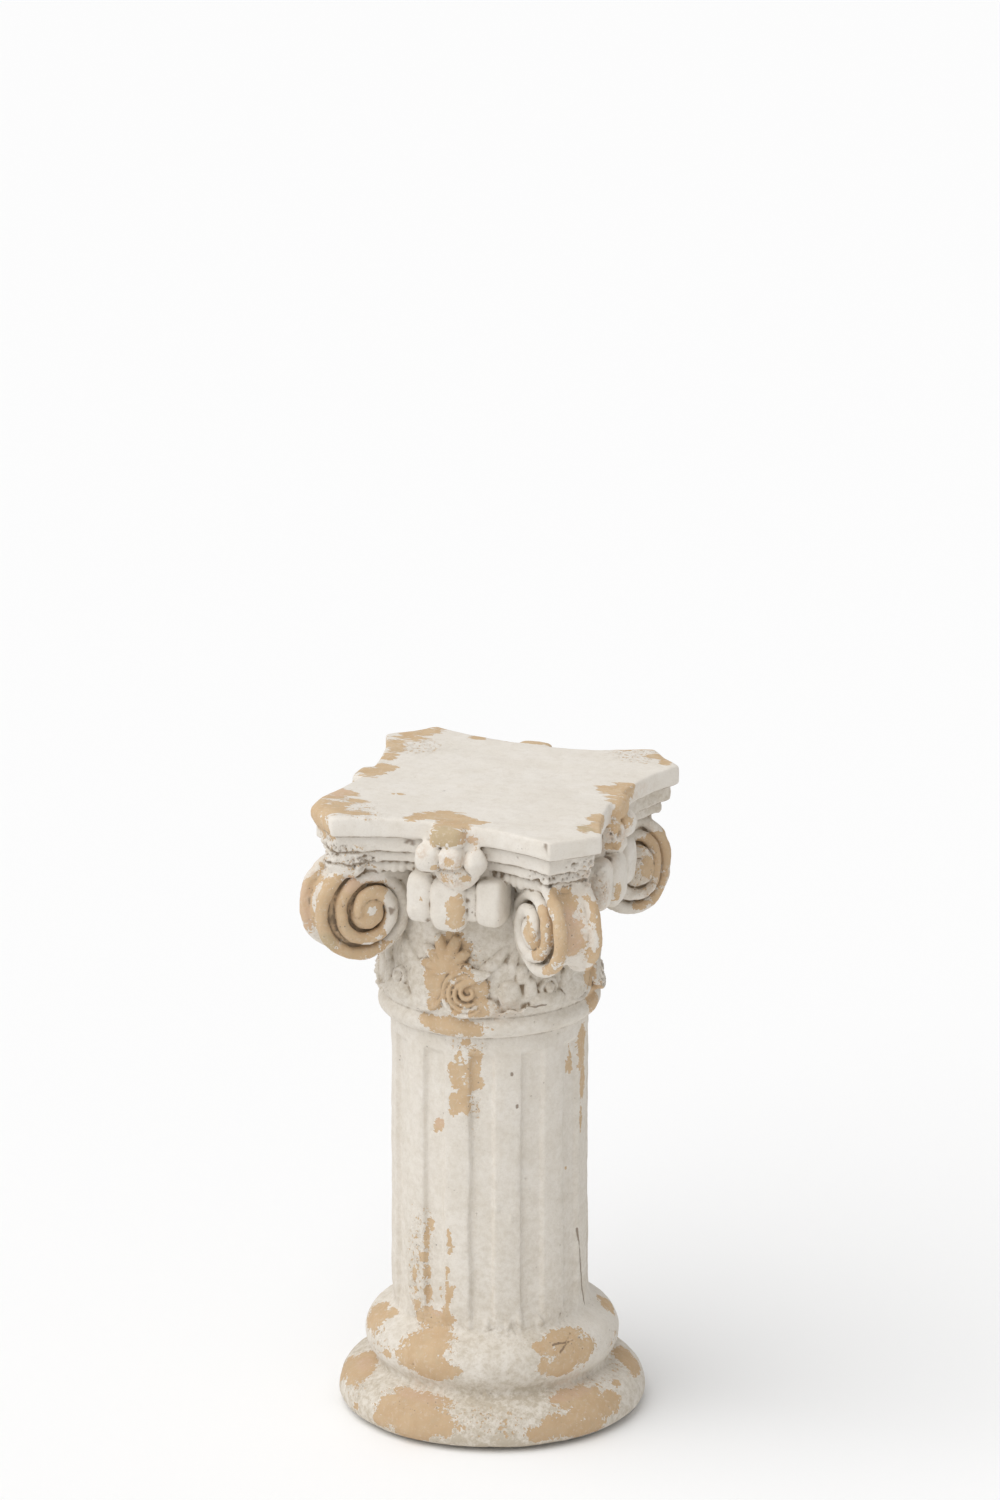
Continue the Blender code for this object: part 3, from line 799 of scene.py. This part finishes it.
bare_spots = [
    # corners and edges of the abacus
    (-48, 184, 622, 16, 16, 20), (-40, 182, 618, 8, 12, 12), (-58, 160, 628, 22, 18, 10),
    (-120, 160, 626, 30, 20, 12), (-89, 130, 622, 14, 16, 16), (59, 166, 630, 12, 12, 8),
    (-139, 176, 616, 20, 20, 12), (178, 140, 618, 16, 20, 14),
    # flowers
    (1.5, 146, 627.5, 18.5, 24, 12.5), (11, 142, 622, 9, 12, 8), (2, 128, 634, 20, 16, 8),
    (89, 138, 624, 17, 20, 16), (80, 143, 612, 8, 14, 9), (78, 142, 590, 8, 14, 11),
    (85, 126, 543, 5, 12, 12), (3.4, 149, 603.5, 5.2, 10, 5.5), (-3, 146, 595.5, 4, 10, 4),
    (1.4, 141, 580, 6.5, 10, 6), (9.3, 144, 584, 6, 10, 5), (-11, 128, 556, 3.2, 8, 4),
    (4.3, 134.5, 552, 9.5, 14, 12), (4.3, 134.5, 540, 9.5, 14, 10), (176, 142, 585, 14, 14, 14),
    (-93, 136, 552, 14, 14, 18),
    # volutes
    (-33, 160, 533, 36, 36, 42), (-36, 180, 533, 30, 28, 44), (-49, 190, 545, 22, 20, 34),
    (-34, 156, 497, 30, 30, 14), (-52, 186, 520, 14, 14, 16), (32, 156, 537, 9, 10, 11),
    (35.5, 170, 556, 6, 8, 18), (36, 172, 540, 6, 8, 20), (34.5, 162, 519, 8, 9, 9),
    (39.5, 176, 566, 8, 12, 22), (38.5, 190, 540, 12, 16, 30), (40, 180, 512, 8, 12, 12),
    (52, 184, 500, 9, 14, 10), (36.5, 178, 508, 9, 12, 12), (44, 172, 567, 11, 14, 14),
    (42.5, 188, 545, 12, 10, 18), (44, 188, 522, 8, 10, 12), (52, 191, 546, 8, 14, 36),
    (50, 192, 516, 9, 14, 14), (49, 188, 565, 10, 14, 14), (45, 192, 538, 12, 12, 26),
    (122, 158, 536, 8, 10, 10), (126, 172, 532, 7, 14, 24), (124, 150, 497, 12, 12, 6),
    (131, 180, 562, 13, 14, 13), (133, 187, 537, 12, 14, 46), (127, 172, 500, 14, 16, 8),
    (118, 150, 562, 9, 12, 6), (125, 166, 561, 22, 26, 8), (129, 176, 548, 12, 20, 20),
    (124, 163, 536, 12, 20, 12), (116, 146, 520, 7, 12, 6), (120, 156, 538, 10, 12, 14),
    (-142, 176, 545, 26, 26, 30), (-128, 160, 520, 20, 24, 20), (140, 180, 540, 18, 22, 30),
    # bell
    (-3, 105, 507, 14, 12, 10), (-13, 101, 480, 11.5, 12, 18), (-2, 104, 479, 16, 12, 17),
    (-11, 103, 457, 10, 12, 15), (5.5, 105, 470, 12, 12, 12), (8.5, 104, 451, 14.5, 12, 15),
    (14, 105, 462, 8, 12, 8), (-11.5, 106, 442, 8, 12, 7), (1, 106, 458, 12, 12, 16),
    (8, 106, 462, 14, 12, 14), (-6, 106, 462, 13, 14, 14), (-8, 104, 494, 13, 14, 14),
    (1, 104, 494, 15, 14, 14), (-14, 106, 468, 8, 14, 10), (2, 106, 441, 10, 12, 6),
    (12, 108, 440, 12, 12, 7), (0, 108, 421, 34, 12, 10.5), (-15, 107, 424, 10, 12, 6),
    (88, 107, 430, 14, 14, 18), (81, 103, 456, 10, 12, 15), (172, 106, 480, 20, 14, 24),
    (-100, 108, 424, 26, 14, 12), (-80, 106, 462, 16, 14, 20), (150, 108, 422, 24, 14, 10),
    # shaft, from its head
    (-0.5, 95.5, 388, 6, 10, 6), (9.5, 95.5, 391, 8, 10, 7), (-2, 95.5, 374, 9, 10, 10),
    (7.5, 95.5, 377, 8, 10, 9), (9, 95.5, 361, 8, 10, 9), (12.3, 94.5, 359, 5, 10, 6),
    (-3, 95.5, 337, 6, 10, 11), (4, 95.5, 337, 4.5, 10, 9), (1.5, 95.5, 346, 9, 10, 6),
    (4.5, 95.5, 403, 6, 10, 3.5), (4, 95.5, 355, 10, 10, 8), (-1, 95.5, 362, 6, 10, 8),
    (-13, 94, 315, 7, 10, 6), (-16, 94, 306, 4, 10, 5), (88, 95.5, 389, 12, 10, 12),
    (86, 95.5, 370, 8, 10, 20), (88, 95.5, 340, 7, 10, 16), (75, 93.8, 368, 6, 10, 15),
    (86.5, 95.5, 305, 3.5, 10, 13), (72, 93.8, 256, 2.5, 10, 7), (-34, 95.5, 227, 2, 10, 9),
    (-20, 94.5, 208, 5.5, 10, 7.5), (-22.5, 95.5, 191, 3, 10, 9), (-24.5, 95.5, 173, 4.5, 10, 6),
    (-31, 95.5, 154, 4, 10, 9), (-22, 95.5, 158, 3.5, 10, 8), (-30, 95.5, 137, 4.5, 10, 4),
    (-21.5, 95.5, 138, 4, 10, 10), (-29.5, 95.5, 121, 5.5, 10, 7), (-6.5, 95.5, 200, 2.2, 10, 13),
    (-5.5, 95.5, 186, 3.5, 10, 8), (-7, 95.5, 160, 3, 10, 16), (-5, 95.5, 145, 5.5, 10, 9),
    (-7, 95.5, 132, 3.5, 10, 9), (-13, 93, 140, 2.5, 10, 6), (-19, 96, 112, 14, 12, 10),
    (-9, 96.5, 115, 11, 12, 10), (-27, 96.5, 111, 6, 12, 6), (-13, 103, 102, 20, 14, 10),
    # torus
    (-14, 115, 93, 27, 14, 12), (-17, 122, 79, 29, 14, 15), (-6, 122, 74, 20, 14, 12),
    (-10, 122, 64, 14, 14, 6), (-36, 123, 71, 6, 10, 5), (2, 123, 73, 8, 10, 4),
    (-60, 115, 92, 26, 16, 14), (-52, 105, 98, 12, 10, 9), (56, 110, 96, 28, 12, 9),
    (61, 121, 83, 30, 12, 16), (53, 123, 72, 22, 12, 10), (43, 112, 93, 8, 10, 6),
    (44, 123, 76, 9, 10, 5), (111, 112, 95, 16, 12, 9), (-100, 120, 86, 30, 14, 12),
    (165, 120, 84, 36, 14, 14),
    # foot
    (-14, 132, 41, 36, 14, 9), (-20, 145, 28, 30, 14, 15), (-4, 145, 26, 26, 14, 14),
    (-28, 149, 15, 10, 10, 6), (-12, 150, 12, 26, 12, 12), (-60, 137, 37, 34, 18, 12),
    (-61, 122, 45, 24, 14, 7), (-68, 145, 30, 20, 14, 12), (105, 138, 38, 20, 16, 9),
    (-43, 149, 17, 6, 10, 4), (57, 131, 41, 32, 14, 9), (60, 145, 29, 34, 14, 16),
    (47, 148, 22, 24, 14, 13), (71, 143, 30, 18, 12, 12), (37, 149, 17, 14, 10, 9),
    (58, 150, 14, 22, 12, 10), (111, 128, 42, 20, 12, 8), (82, 136, 38, 7, 10, 4),
    (-110, 142, 30, 34, 14, 14), (170, 145, 26, 34, 14, 12), (140, 138, 36, 18, 14, 8),
]
# Where paint is left standing inside a bare patch
painted_spots = [
    (-31, 154, 536.5, 3, 10, 5), (-26, 122, 530, 14, 20, 40), (-28, 132, 500, 8, 14, 6),
    (-43, 182, 585, 16, 20, 16), (-51, 182, 566, 6, 12, 12), (-44.5, 190, 518, 7, 14, 18),
    (-46, 186, 545, 4, 14, 16), (-43, 180, 500, 10, 16, 8), (-34, 148, 572, 10, 14, 6),
    (4, 135, 573, 14, 14, 5), (-33, 150, 500, 6, 14, 3), (-30, 146, 508, 5, 14, 3),
    (48.5, 180, 562, 2.5, 12, 9), (47.5, 190, 541, 4, 10, 5), (49.5, 186, 527, 3, 10, 7),
    (47.5, 180, 505, 10, 14, 4), (2.5, 142, 583, 2.5, 6, 4), (-16, 100, 502, 6, 10, 7),
    (60, 118, 58, 6, 8, 3),
]
# Where the cement has a pink or a green cast
pink_spots = [
    (11, 142, 624, 12, 20, 14), (-60, 150, 634, 20, 20, 10), (-50, 190, 530, 10, 20, 40),
    (44, 186, 545, 18, 20, 40), (-14, 128, 44, 40, 14, 8), (55, 128, 44, 40, 14, 8),
    (-60, 128, 44, 24, 14, 8), (-13, 94, 315, 10, 10, 10), (-16, 96, 120, 12, 10, 8),
    (-9, 142, 595, 14, 14, 14), (-34, 162, 565, 20, 20, 14),
]
green_spots = [
    (1, 146, 626, 20, 20, 20), (53, 160, 632, 10, 20, 10), (-38, 190, 505, 16, 16, 16),
]
# Where the paint itself is stained a little orange
blush_spots = [
    (71, 130, 550, 18, 24, 26), (4, 146, 600, 22, 30, 18), (4, 141, 580, 28, 30, 14),
    (12, 142, 622, 14, 20, 14), (124, 168, 535, 50, 50, 55), (100, 150, 624, 60, 30, 14),
    (-8, 146, 608, 10, 20, 10), (56, 170, 590, 34, 40, 20), (82, 140, 600, 30, 40, 40),
    (-30, 156, 560, 24, 30, 20), (44, 190, 540, 24, 30, 40), (120, 165, 540, 34, 40, 40),
    (-50, 186, 560, 20, 20, 30), (-14, 130, 50, 40, 30, 14), (60, 130, 50, 50, 30, 14),
    (18, 104, 440, 40, 20, 16),
]
# Where the paint is rubbed thin and shows small flecks of cement and dirt
rubbed_spots = [
    (71, 130, 552, 16, 24, 20), (142, 160, 634, 44, 30, 14), (139, 185, 632, 24, 20, 14),
    (-30, 95.5, 165, 22, 20, 70), (-22, 95.5, 110, 30, 20, 20), (-14, 140, 40, 60, 30, 20),
    (20, 145, 30, 60, 30, 24), (70, 128, 46, 60, 20, 12), (-44, 120, 80, 24, 24, 24),
    (-48, 145, 30, 30, 24, 20), (-36, 165, 592, 40, 40, 20), (55, 160, 600, 40, 40, 20),
    (5, 104, 490, 24, 20, 30), (-128, 130, 634, 40, 30, 10), (5, 95.5, 400, 30, 20, 12),
    (-40, 150, 634, 50, 30, 10), (60, 120, 90, 60, 20, 20), (-25, 95.5, 200, 20, 20, 40),
    (8, 95.5, 350, 12, 20, 60), (18, 104, 440, 30, 20, 12), (95, 130, 60, 40, 30, 40),
    (122, 165, 530, 40, 50, 50), (42, 180, 540, 30, 40, 50), (-40, 175, 525, 50, 50, 50),
    (3, 140, 590, 30, 30, 20),
]
# Dark pits and chips, small enough to be seen only as dark dots
pit_spots = [
    (-19.2, 128.5, 610.2, 4.6, 8, 3), (-17.2, 126.8, 608.6, 5.6, 8, 3.4), (35.6, 183, 628, 2.6, 8, 6.5),
    (100, 96, 634, 3, 3, 4), (-30, 128, 533, 3, 8, 5), (57, 176, 609, 4.5, 8, 4.5),
    (-8.6, 131, 532, 4, 8, 5), (82.5, 123, 577, 5.5, 7, 4.5),
]
# How soiled the paint is at each height, from the floor up
soiling = [(0.0, 1.65), (0.05, 1.40), (0.065, 0.70), (0.10, 0.75), (0.13, 0.85), (0.22, 0.60),
           (0.39, 0.45), (0.43, 0.75), (0.45, 1.15), (0.54, 1.05), (0.58, 0.30), (0.61, 0.15), (0.634, 0.0)]
# The flat top was rubbed this way round from the front, and flakes there reach this far down its edge
rubbing = math.radians(19.5)
flake_depth = 0.014


def top_field(points, spots):
    """The same measure for the spots of the flat top, which lie along the way it was rubbed."""
    best = np.full(len(points), -1.0)
    sunk = np.clip(top_height - points[:, 2] - 0.001, 0, None) / flake_depth
    for spot in spots:
        x, y, along, across = [length / 1000 for length in spot]
        gap_x, gap_y = points[:, 0] - x, points[:, 1] - y
        lengthwise = (gap_x * math.cos(rubbing) + gap_y * math.sin(rubbing)) / along
        sideways = (gap_y * math.cos(rubbing) - gap_x * math.sin(rubbing)) / across
        best = np.maximum(best, 1 - np.sqrt(lengthwise ** 2 + sideways ** 2 + sunk ** 2))
    return best


points, outward, edges = read(finished)
bare = np.maximum(spot_field(points, bare_spots), top_field(points, top_spots))
bare = np.minimum(bare, 0.5 - 3.0 * np.clip(spot_field(points, painted_spots) + 0.25, 0, 1))

# Round the back, where the weather came from, flakes are missing by chance too
weather_side = Vector((-0.45, 0.85, 0.0)).normalized()
behind = rise(points[:, :2] @ np.array(weather_side[:2]) / 0.1, 0.2, 0.7)
behind *= 1 - rise(points[:, 2], top_height - 0.012, top_height - 0.002)
patchy = 1.5 * unevenness(points, 0.055, 21, 2) - 0.75
bare = np.maximum(bare, np.where(behind > 0, patchy * behind - (1 - behind), -1))

# Shadowed holes in the plaster of the left front corner, and the measures of all the other spots
crumbly = rise(spot_field(points, rough_spots[:3]), 0.05, 0.45)
crumbly *= 1 - rise(pocks(points, 0.0050, 31, 0.9), 0.22, 0.42)
pink, green, pit, rubbed, blush, rough = [
    rise(spot_field(points, spots), 0.0, edge)
    for spots, edge in ((pink_spots, 0.6), (green_spots, 0.5), (pit_spots, 0.4), (rubbed_spots, 0.7),
                        (blush_spots, 0.7), (rough_spots, 0.4))]

# Dirt lies on the foot, on the bell, and on the capital's right flank; low down, painted shade darkens the
# left of the foot and torus, and painted light leaves their right side lighter
height = points[:, 2] - floor_height
soil_and_painted_light = np.interp(height, [h for h, _ in soiling], [s for _, s in soiling])
soil_and_painted_light *= 1 - 0.75 * rise(np.hypot(points[:, 0], points[:, 1]), 0.115, 0.135) * rise(points[:, 2], 0.47, 0.49)
under = rise(points[:, 2], 0.50, 0.52) * (1 - rise(height, 0.610, 0.618))
soil_and_painted_light += under * rise(points[:, 0], 0.085, 0.120) * (0.05 + 1.10 * rise(points[:, 1], 0.02, 0.08))
# Painted shade on the left of the foot and torus, painted light on their right
sideways = points[:, :2] @ to_the_right
soil_and_painted_light += (1 - rise(height, 0.10, 0.13)) * (0.10 + 0.35 * rise(sideways, -0.09, -0.03)
                                          - 0.85 * rise(sideways, 0.04, 0.10))
for name, values in (("bare", bare), ("pit", np.maximum(pit, 0.8 * crumbly)), ("cast", pink - green),
                     ("rubbed", rubbed), ("blush", blush), ("rough", rough), ("soil_and_painted_light", soil_and_painted_light)):
    keep(finished, name, values)


class Tone:
    """A socket of the paint's shader that takes part in sums: an operator adds its Math node."""

    def __init__(self, tree, socket):
        self.tree, self.socket = tree, socket

    def node(self, kind, settings, inputs, output=0):
        """Any node: its type, its settings, set first, and its sockets' values or links."""
        made = self.tree.nodes.new(kind)
        for name, value in settings.items():
            setattr(made, name, value)
        for name, value in inputs.items():
            if isinstance(value, Tone):
                self.tree.links.new(value.socket, made.inputs[name])
            else:
                made.inputs[name].default_value = value
        return Tone(self.tree, made.outputs[output])

    def vector(self, operation, inputs, output=0):
        return self.node("ShaderNodeVectorMath", {"operation": operation}, inputs, output)

    def sum(self, operation, first, second):
        return self.node("ShaderNodeMath", {"operation": operation}, {0: first, 1: second})

    def __add__(self, other):
        return self.sum('ADD', self, other)

    def __radd__(self, other):
        return self.sum('ADD', other, self)

    def __sub__(self, other):
        return self.sum('SUBTRACT', self, other)

    def __rsub__(self, other):
        return self.sum('SUBTRACT', other, self)

    def __mul__(self, other):
        return self.sum('MULTIPLY', self, other)

    def __rmul__(self, other):
        return self.sum('MULTIPLY', other, self)

    def between(self, low, high):
        """0 below low, 1 above high, smooth between."""
        return self.node("ShaderNodeMapRange", {"interpolation_type": 'SMOOTHSTEP'},
                         {"Value": self, "From Min": low, "From Max": high})

    def over(self, below, above):
        """A colour laid over another where this mask is 1."""
        return self.node("ShaderNodeMix", {"data_type": 'RGBA'}, {0: self, 6: below, 7: above}, 2)


paint = bpy.data.materials.new("weathered_paint")
paint.use_nodes = True
tree = paint.node_tree
shader = tree.nodes["Principled BSDF"]
start = Tone(tree, None)
here = start.node("ShaderNodeTexCoord", {}, {}, 3)


def cloud(size, detail=4.0, roughness=0.55, warp=0.0, place=here):
    """Noise with lumps of this size in metres, 0 to 1 about a half."""
    return start.node("ShaderNodeTexNoise", {"noise_dimensions": '3D'},
                      {"Vector": place, "Scale": 1 / size, "Detail": detail, "Roughness": roughness,
                       "Distortion": warp})


def stored(name):
    """A number kept for each point of the casting."""
    return start.node("ShaderNodeAttribute", {"attribute_name": name}, {}, 2)


def crack(ends, width):
    """A mask along a line between two points, this many millimetres to either side of it."""
    near, far = [Vector((math.sin(math.radians(direction)) * distance / 1000,
                         -math.cos(math.radians(direction)) * distance / 1000,
                         floor_height + height / 1000)) for direction, distance, height in ends]
    width = width / 1000
    along = far - near
    gap = crooked.vector('SUBTRACT', {0: crooked, 1: near})
    share = gap.vector('DOT_PRODUCT', {0: gap, 1: along / max(along.length_squared, 1e-9)}, 1)
    held = share.node("ShaderNodeMapRange", {}, {"Value": share})
    on_line = held.vector('SCALE', {0: along, "Scale": held})
    away = gap.vector('DISTANCE', {0: gap, 1: on_line}, 1)
    return 1 - away.between(width * 0.4, width)


bare_here, grime_and_shade_here, hollow_dirt_and_shade_here, rubbed_here, cast_here, blush_here, rough_here, soil_and_painted_light_here = [
    stored(name) for name in ("bare", "grime_and_shade", "hollow", "rubbed", "cast", "blush", "rough", "soil_and_painted_light")]
height_here = here.node("ShaderNodeSeparateXYZ", {}, {"Vector": here}, 2)
on_top = height_here.between(top_height - 0.006, top_height - 0.002)
streaked = here.node("ShaderNodeMapping", {}, {"Vector": here, "Rotation": (0, 0, -rubbing),
                                               "Scale": (0.22, 1.3, 1.0)})

# Ragged edges of the flaked paint: streaked along the rubbing on the flat top, crumbled elsewhere
crumbled = (cloud(0.013, 5.0, 0.62) - 0.5) * 1.7 + (cloud(0.0034, 3.0, 0.62) - 0.5) * 1.3
brushed = (cloud(0.011, 5.0, 0.68, 0.0, streaked) - 0.5) * 2.6
brushed = brushed + (cloud(0.0030, 3.0, 0.62, 0.0, streaked) - 0.5) * 1.2
ragged = crumbled + (brushed - crumbled) * on_top
loose = bare_here + ragged
fleck = cloud(0.0042, 3.0, 0.66).between(0.57, 0.62)
fleck = fleck * (rubbed_here + cloud(0.045, 2.0) - 0.50).between(0.38, 0.70)
bare_mask = loose.between(-0.015, 0.035)
rim = loose.between(-0.16, -0.02) - bare_mask
flaked = bare_mask + (1 - bare_mask) * fleck

# Paint: cream to grey, thinner and browner in smears, whiter at a broken edge
pale_cream, warm_cream = (0.800, 0.755, 0.690, 1), (0.760, 0.710, 0.635, 1)
thin_paint, smeared_paint = (0.690, 0.628, 0.545, 1), (0.700, 0.640, 0.575, 1)
dusty_and_shaded_paint, dirty_paint = (0.520, 0.455, 0.360, 1), (0.560, 0.500, 0.425, 1)
orange_stain, broken_edge = (0.640, 0.480, 0.350, 1), (0.860, 0.825, 0.770, 1)
paint_tone = cloud(0.034, 5.0, 0.6).between(0.30, 0.70).over(pale_cream, warm_cream)
wash = cloud(0.012, 5.0, 0.7).between(0.45, 0.75) * 0.40
paint_tone = wash.over(paint_tone, thin_paint)
drawn = cloud(0.014, 4.0, 0.7, 0.0, streaked).between(0.50, 0.72) * on_top * 0.35
paint_tone = drawn.over(paint_tone, smeared_paint)
mottling = cloud(0.022, 6.0, 0.75).between(0.34, 0.66) * 0.34
mottling = mottling + cloud(0.0055, 4.0, 0.7).between(0.40, 0.66) * 0.22 + 0.14
# Dust darkens the paint; low down, painted shade darkens the left and painted light lightens the right
paint_tone = (soil_and_painted_light_here * mottling).over(paint_tone, dusty_and_shaded_paint)
stained = blush_here * cloud(0.0060, 4.0, 0.7).between(0.38, 0.62) * 0.55
paint_tone = stained.over(paint_tone, orange_stain)
paint_tone = (rim * 0.45).over(paint_tone, broken_edge)
soiled = (rubbed_here * 0.5 + 0.12) * cloud(0.0060, 5.0, 0.75).between(0.46, 0.70)
paint_tone = soiled.over(paint_tone, dirty_paint)

# Cement: tan, with a pink or green cast in places, and thin remains of paint on it
light_tan, dark_tan = (0.640, 0.478, 0.305, 1), (0.580, 0.418, 0.255, 1)
red_tan, grey_tan = (0.590, 0.385, 0.215, 1), (0.560, 0.470, 0.325, 1)
pink_cast, green_cast = (0.660, 0.470, 0.345, 1), (0.500, 0.405, 0.255, 1)
paint_powder, damp_and_shaded_cement = (0.730, 0.640, 0.520, 1), (0.400, 0.270, 0.160, 1)
cement_tone = cloud(0.020, 4.0, 0.6, 0.5).between(0.35, 0.65).over(light_tan, dark_tan)
cement_tone = (cloud(0.008, 4.0, 0.7).between(0.40, 0.70) * 0.45).over(cement_tone, red_tan)
cement_tone = (cloud(0.011, 4.0, 0.7).between(0.48, 0.72) * 0.35).over(cement_tone, grey_tan)
blotch = cast_here.between(0.0, 1.0) * (cloud(0.009, 4.0, 0.7).between(0.30, 0.65) * 0.5 + 0.25)
cement_tone = blotch.over(cement_tone, pink_cast)
cement_tone = ((0 - cast_here).between(0.0, 1.0) * 0.70).over(cement_tone, green_cast)
powder = cloud(0.0040, 4.0, 0.7).between(0.51, 0.67) * 0.45
cement_tone = powder.over(cement_tone, paint_powder)
# Damp dirt darkens the cement, with the same painted shade low on the left
cement_tone = (soil_and_painted_light_here * 0.22).over(cement_tone, damp_and_shaded_cement)
colour = flaked.over(paint_tone, cement_tone)

# Sand grains over both, dirt and painted shade in the hollows, specks of dirt elsewhere, holes and the few
# cracks
grain_shade, hollow_dirt_and_shade = (0.470, 0.400, 0.320, 1), (0.250, 0.190, 0.130, 1)
speck_dirt, hole_shade = (0.190, 0.155, 0.125, 1), (0.270, 0.205, 0.150, 1)
crack_shade = (0.190, 0.130, 0.085, 1)
grain = cloud(0.0016, 3.0, 0.7).between(0.46, 0.78) * (rubbed_here * 0.25 + 0.16)
colour = grain.over(colour, grain_shade)
# Dark brown in the hollows: dirt, with painted shade where the hollows lie in shade
dirt_and_shade = grime_and_shade_here.between(0.15, 0.90) * (cloud(0.010, 4.0, 0.7).between(0.30, 0.62) * 0.50 + 0.35)
dirt_and_shade = dirt_and_shade + hollow_dirt_and_shade_here.between(0.10, 1.0) * (cloud(0.012, 5.0, 0.7).between(0.35, 0.65) * 0.44 + 0.18)
colour = dirt_and_shade.between(0.0, 1.0).over(colour, hollow_dirt_and_shade)
specks = start.node("ShaderNodeTexVoronoi", {"feature": 'F1'}, {"Vector": here, "Scale": 230.0}, 0)
speck_where = cloud(0.022, 3.0, 0.6) + rubbed_here * 0.25 + hollow_dirt_and_shade_here * 0.20
speck_where = (speck_where - on_top * 0.20).between(0.55, 0.76)
speck = (1 - specks.between(0.10, 0.24)) * speck_where * cloud(0.004, 1.0, 0.5).between(0.44, 0.56)
wobble = start.node("ShaderNodeTexNoise", {}, {"Vector": here, "Scale": 140.0, "Detail": 2.0}, 1)
wobble = wobble.vector('SUBTRACT', {0: wobble, 1: (0.5, 0.5, 0.5)})
crooked = here.vector('ADD', {0: here, 1: wobble.vector('SCALE', {0: wobble, "Scale": 0.0026})})
holes = start.node("ShaderNodeTexVoronoi", {"feature": 'F1'}, {"Vector": crooked, "Scale": 290.0}, 0)
hole_where = rough_here * height_here.between(0.44, 0.50) * cloud(0.008, 3.0, 0.6).between(0.54, 0.66)
hole = (1 - holes.between(0.16, 0.44)) * hole_where
# Cracks, each a run of places given by direction, distance and height, and its half width, all but
# the direction in millimetres
crack_runs = [
    ([(81.3, 93.3, 192), (85.6, 93.3, 156), (91, 94, 106)], 1.8),
    ([(59, 95, 104), (63.9, 94, 113)], 1.8),
    ([(57.7, 98, 101), (69, 103.5, 99)], 1.6),
    ([(50.5, 115, 93), (57.1, 115.6, 92), (63.1, 109, 96.5)], 1.9),
    ([(52.7, 120, 86), (58.9, 115.7, 92), (66, 115.5, 92)], 1.9),
    ([(0, 105, 472), (5.4, 106, 488)], 1.4),
    ([(-25.3, 106.5, 431), (-14.3, 108, 433)], 1.3),
    ([(13, 107.5, 431), (25.2, 107.5, 431)], 1.4),
    ([(36.8, 109, 442), (48.1, 109, 442)], 1.3),
    ([(30.9, 95, 372), (31, 95, 370)], 2.1),
    ([(33.9, 95, 338), (34, 95, 336)], 1.9),
]
cracks = stored("pit")
for run, width in crack_runs:
    for ends in zip(run, run[1:]):
        cracks = cracks + crack(ends, width)
cracks = cracks.between(0.0, 1.0)
colour = (speck * 0.8).over(colour, speck_dirt)
colour = (hole * 0.65).over(colour, hole_shade)
colour = (cracks * 0.75).over(colour, crack_shade)
tree.links.new(colour.socket, shader.inputs["Base Color"])

# The paint is a film over the cement, and specks, holes and cracks sink into both
film = (1 - flaked) * 0.55 + (cloud(0.0024, 4.0, 0.65) - 0.5) * (rubbed_here * 1.0 + 0.60)
film = film + (cloud(0.009, 4.0, 0.6) - 0.5) * 1.3 - speck * 0.6 - cracks * 1.2
film = film - hole * 1.6 + (cloud(0.0035, 3.0, 0.6) - 0.5) * rough_here * 2.2
relief = start.node("ShaderNodeBump", {}, {"Height": film, "Strength": 0.7, "Distance": 0.0006})
tree.links.new(relief.socket, shader.inputs["Normal"])
roughness = flaked * -0.08 + 0.92
tree.links.new(roughness.socket, shader.inputs["Roughness"])
shader.inputs["Specular IOR Level"].default_value = 0.25
finished.materials.clear()
finished.materials.append(paint)
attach(casting, "root")
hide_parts("pedestal")

# The plain pale floor that it stands on, a smooth painted board. The casting stands loose on it.
bpy.ops.mesh.primitive_plane_add(size=40, location=(0, 0, floor_height - 0.0005))
ground = bpy.context.object
ground.name = "floor"
pale = bpy.data.materials.new("pale_floor")
pale.use_nodes = True
board = pale.node_tree.nodes["Principled BSDF"]
board.inputs["Base Color"].default_value = (0.96, 0.96, 0.96, 1)
board.inputs["Roughness"].default_value = 0.95
ground.data.materials.append(pale)

# Soft studio light: a white room, and one broad light high on the left.
world = bpy.data.worlds.new("studio")
bpy.context.scene.world = world
world.use_nodes = True
room = world.node_tree.nodes["Background"]
room.inputs["Color"].default_value = (1, 1, 1, 1)
room.inputs["Strength"].default_value = 0.55
key_height = math.radians(54)
key_side = Vector((-0.600, -0.800, 0)).normalized()
key = bpy.data.lights.new("key", 'SUN')
key.energy = 1.85
key.angle = math.radians(70)
key_holder = bpy.data.objects.new("key", key)
coming = key_side * math.cos(key_height) + UP * math.sin(key_height)
key_holder.rotation_euler = (-coming).to_track_quat('-Z', 'Y').to_euler()
key_holder.location = coming * 5
bpy.context.scene.collection.objects.link(key_holder)
bpy.context.scene.view_settings.view_transform = 'Standard'

# The camera: a long lens a little above the top, turned to the right of the front.
lens = 240
stand_off = 9.72
turn = math.radians(19.5)
look_down = math.radians(20.4)
aim_height = floor_height + 0.506 * (top_height - floor_height)
tip_up = math.radians(1.941)
swing = math.radians(-0.044)
camera_data = bpy.data.cameras.new("camera")
camera_data.lens = lens
camera_data.sensor_width = 36
camera = bpy.data.objects.new("camera", camera_data)
bpy.context.scene.collection.objects.link(camera)
back = Vector((math.cos(look_down) * math.sin(turn), -math.cos(look_down) * math.cos(turn),
               math.sin(look_down)))
place = Vector((0, 0, aim_height)) + back * stand_off
facing = (-back).to_track_quat('-Z', 'Y').to_matrix().to_4x4()
camera.matrix_world = (Matrix.Translation(place) @ facing
                       @ Matrix.Rotation(swing, 4, 'Y') @ Matrix.Rotation(tip_up, 4, 'X'))
bpy.context.scene.camera = camera

bpy.context.view_layer.update()
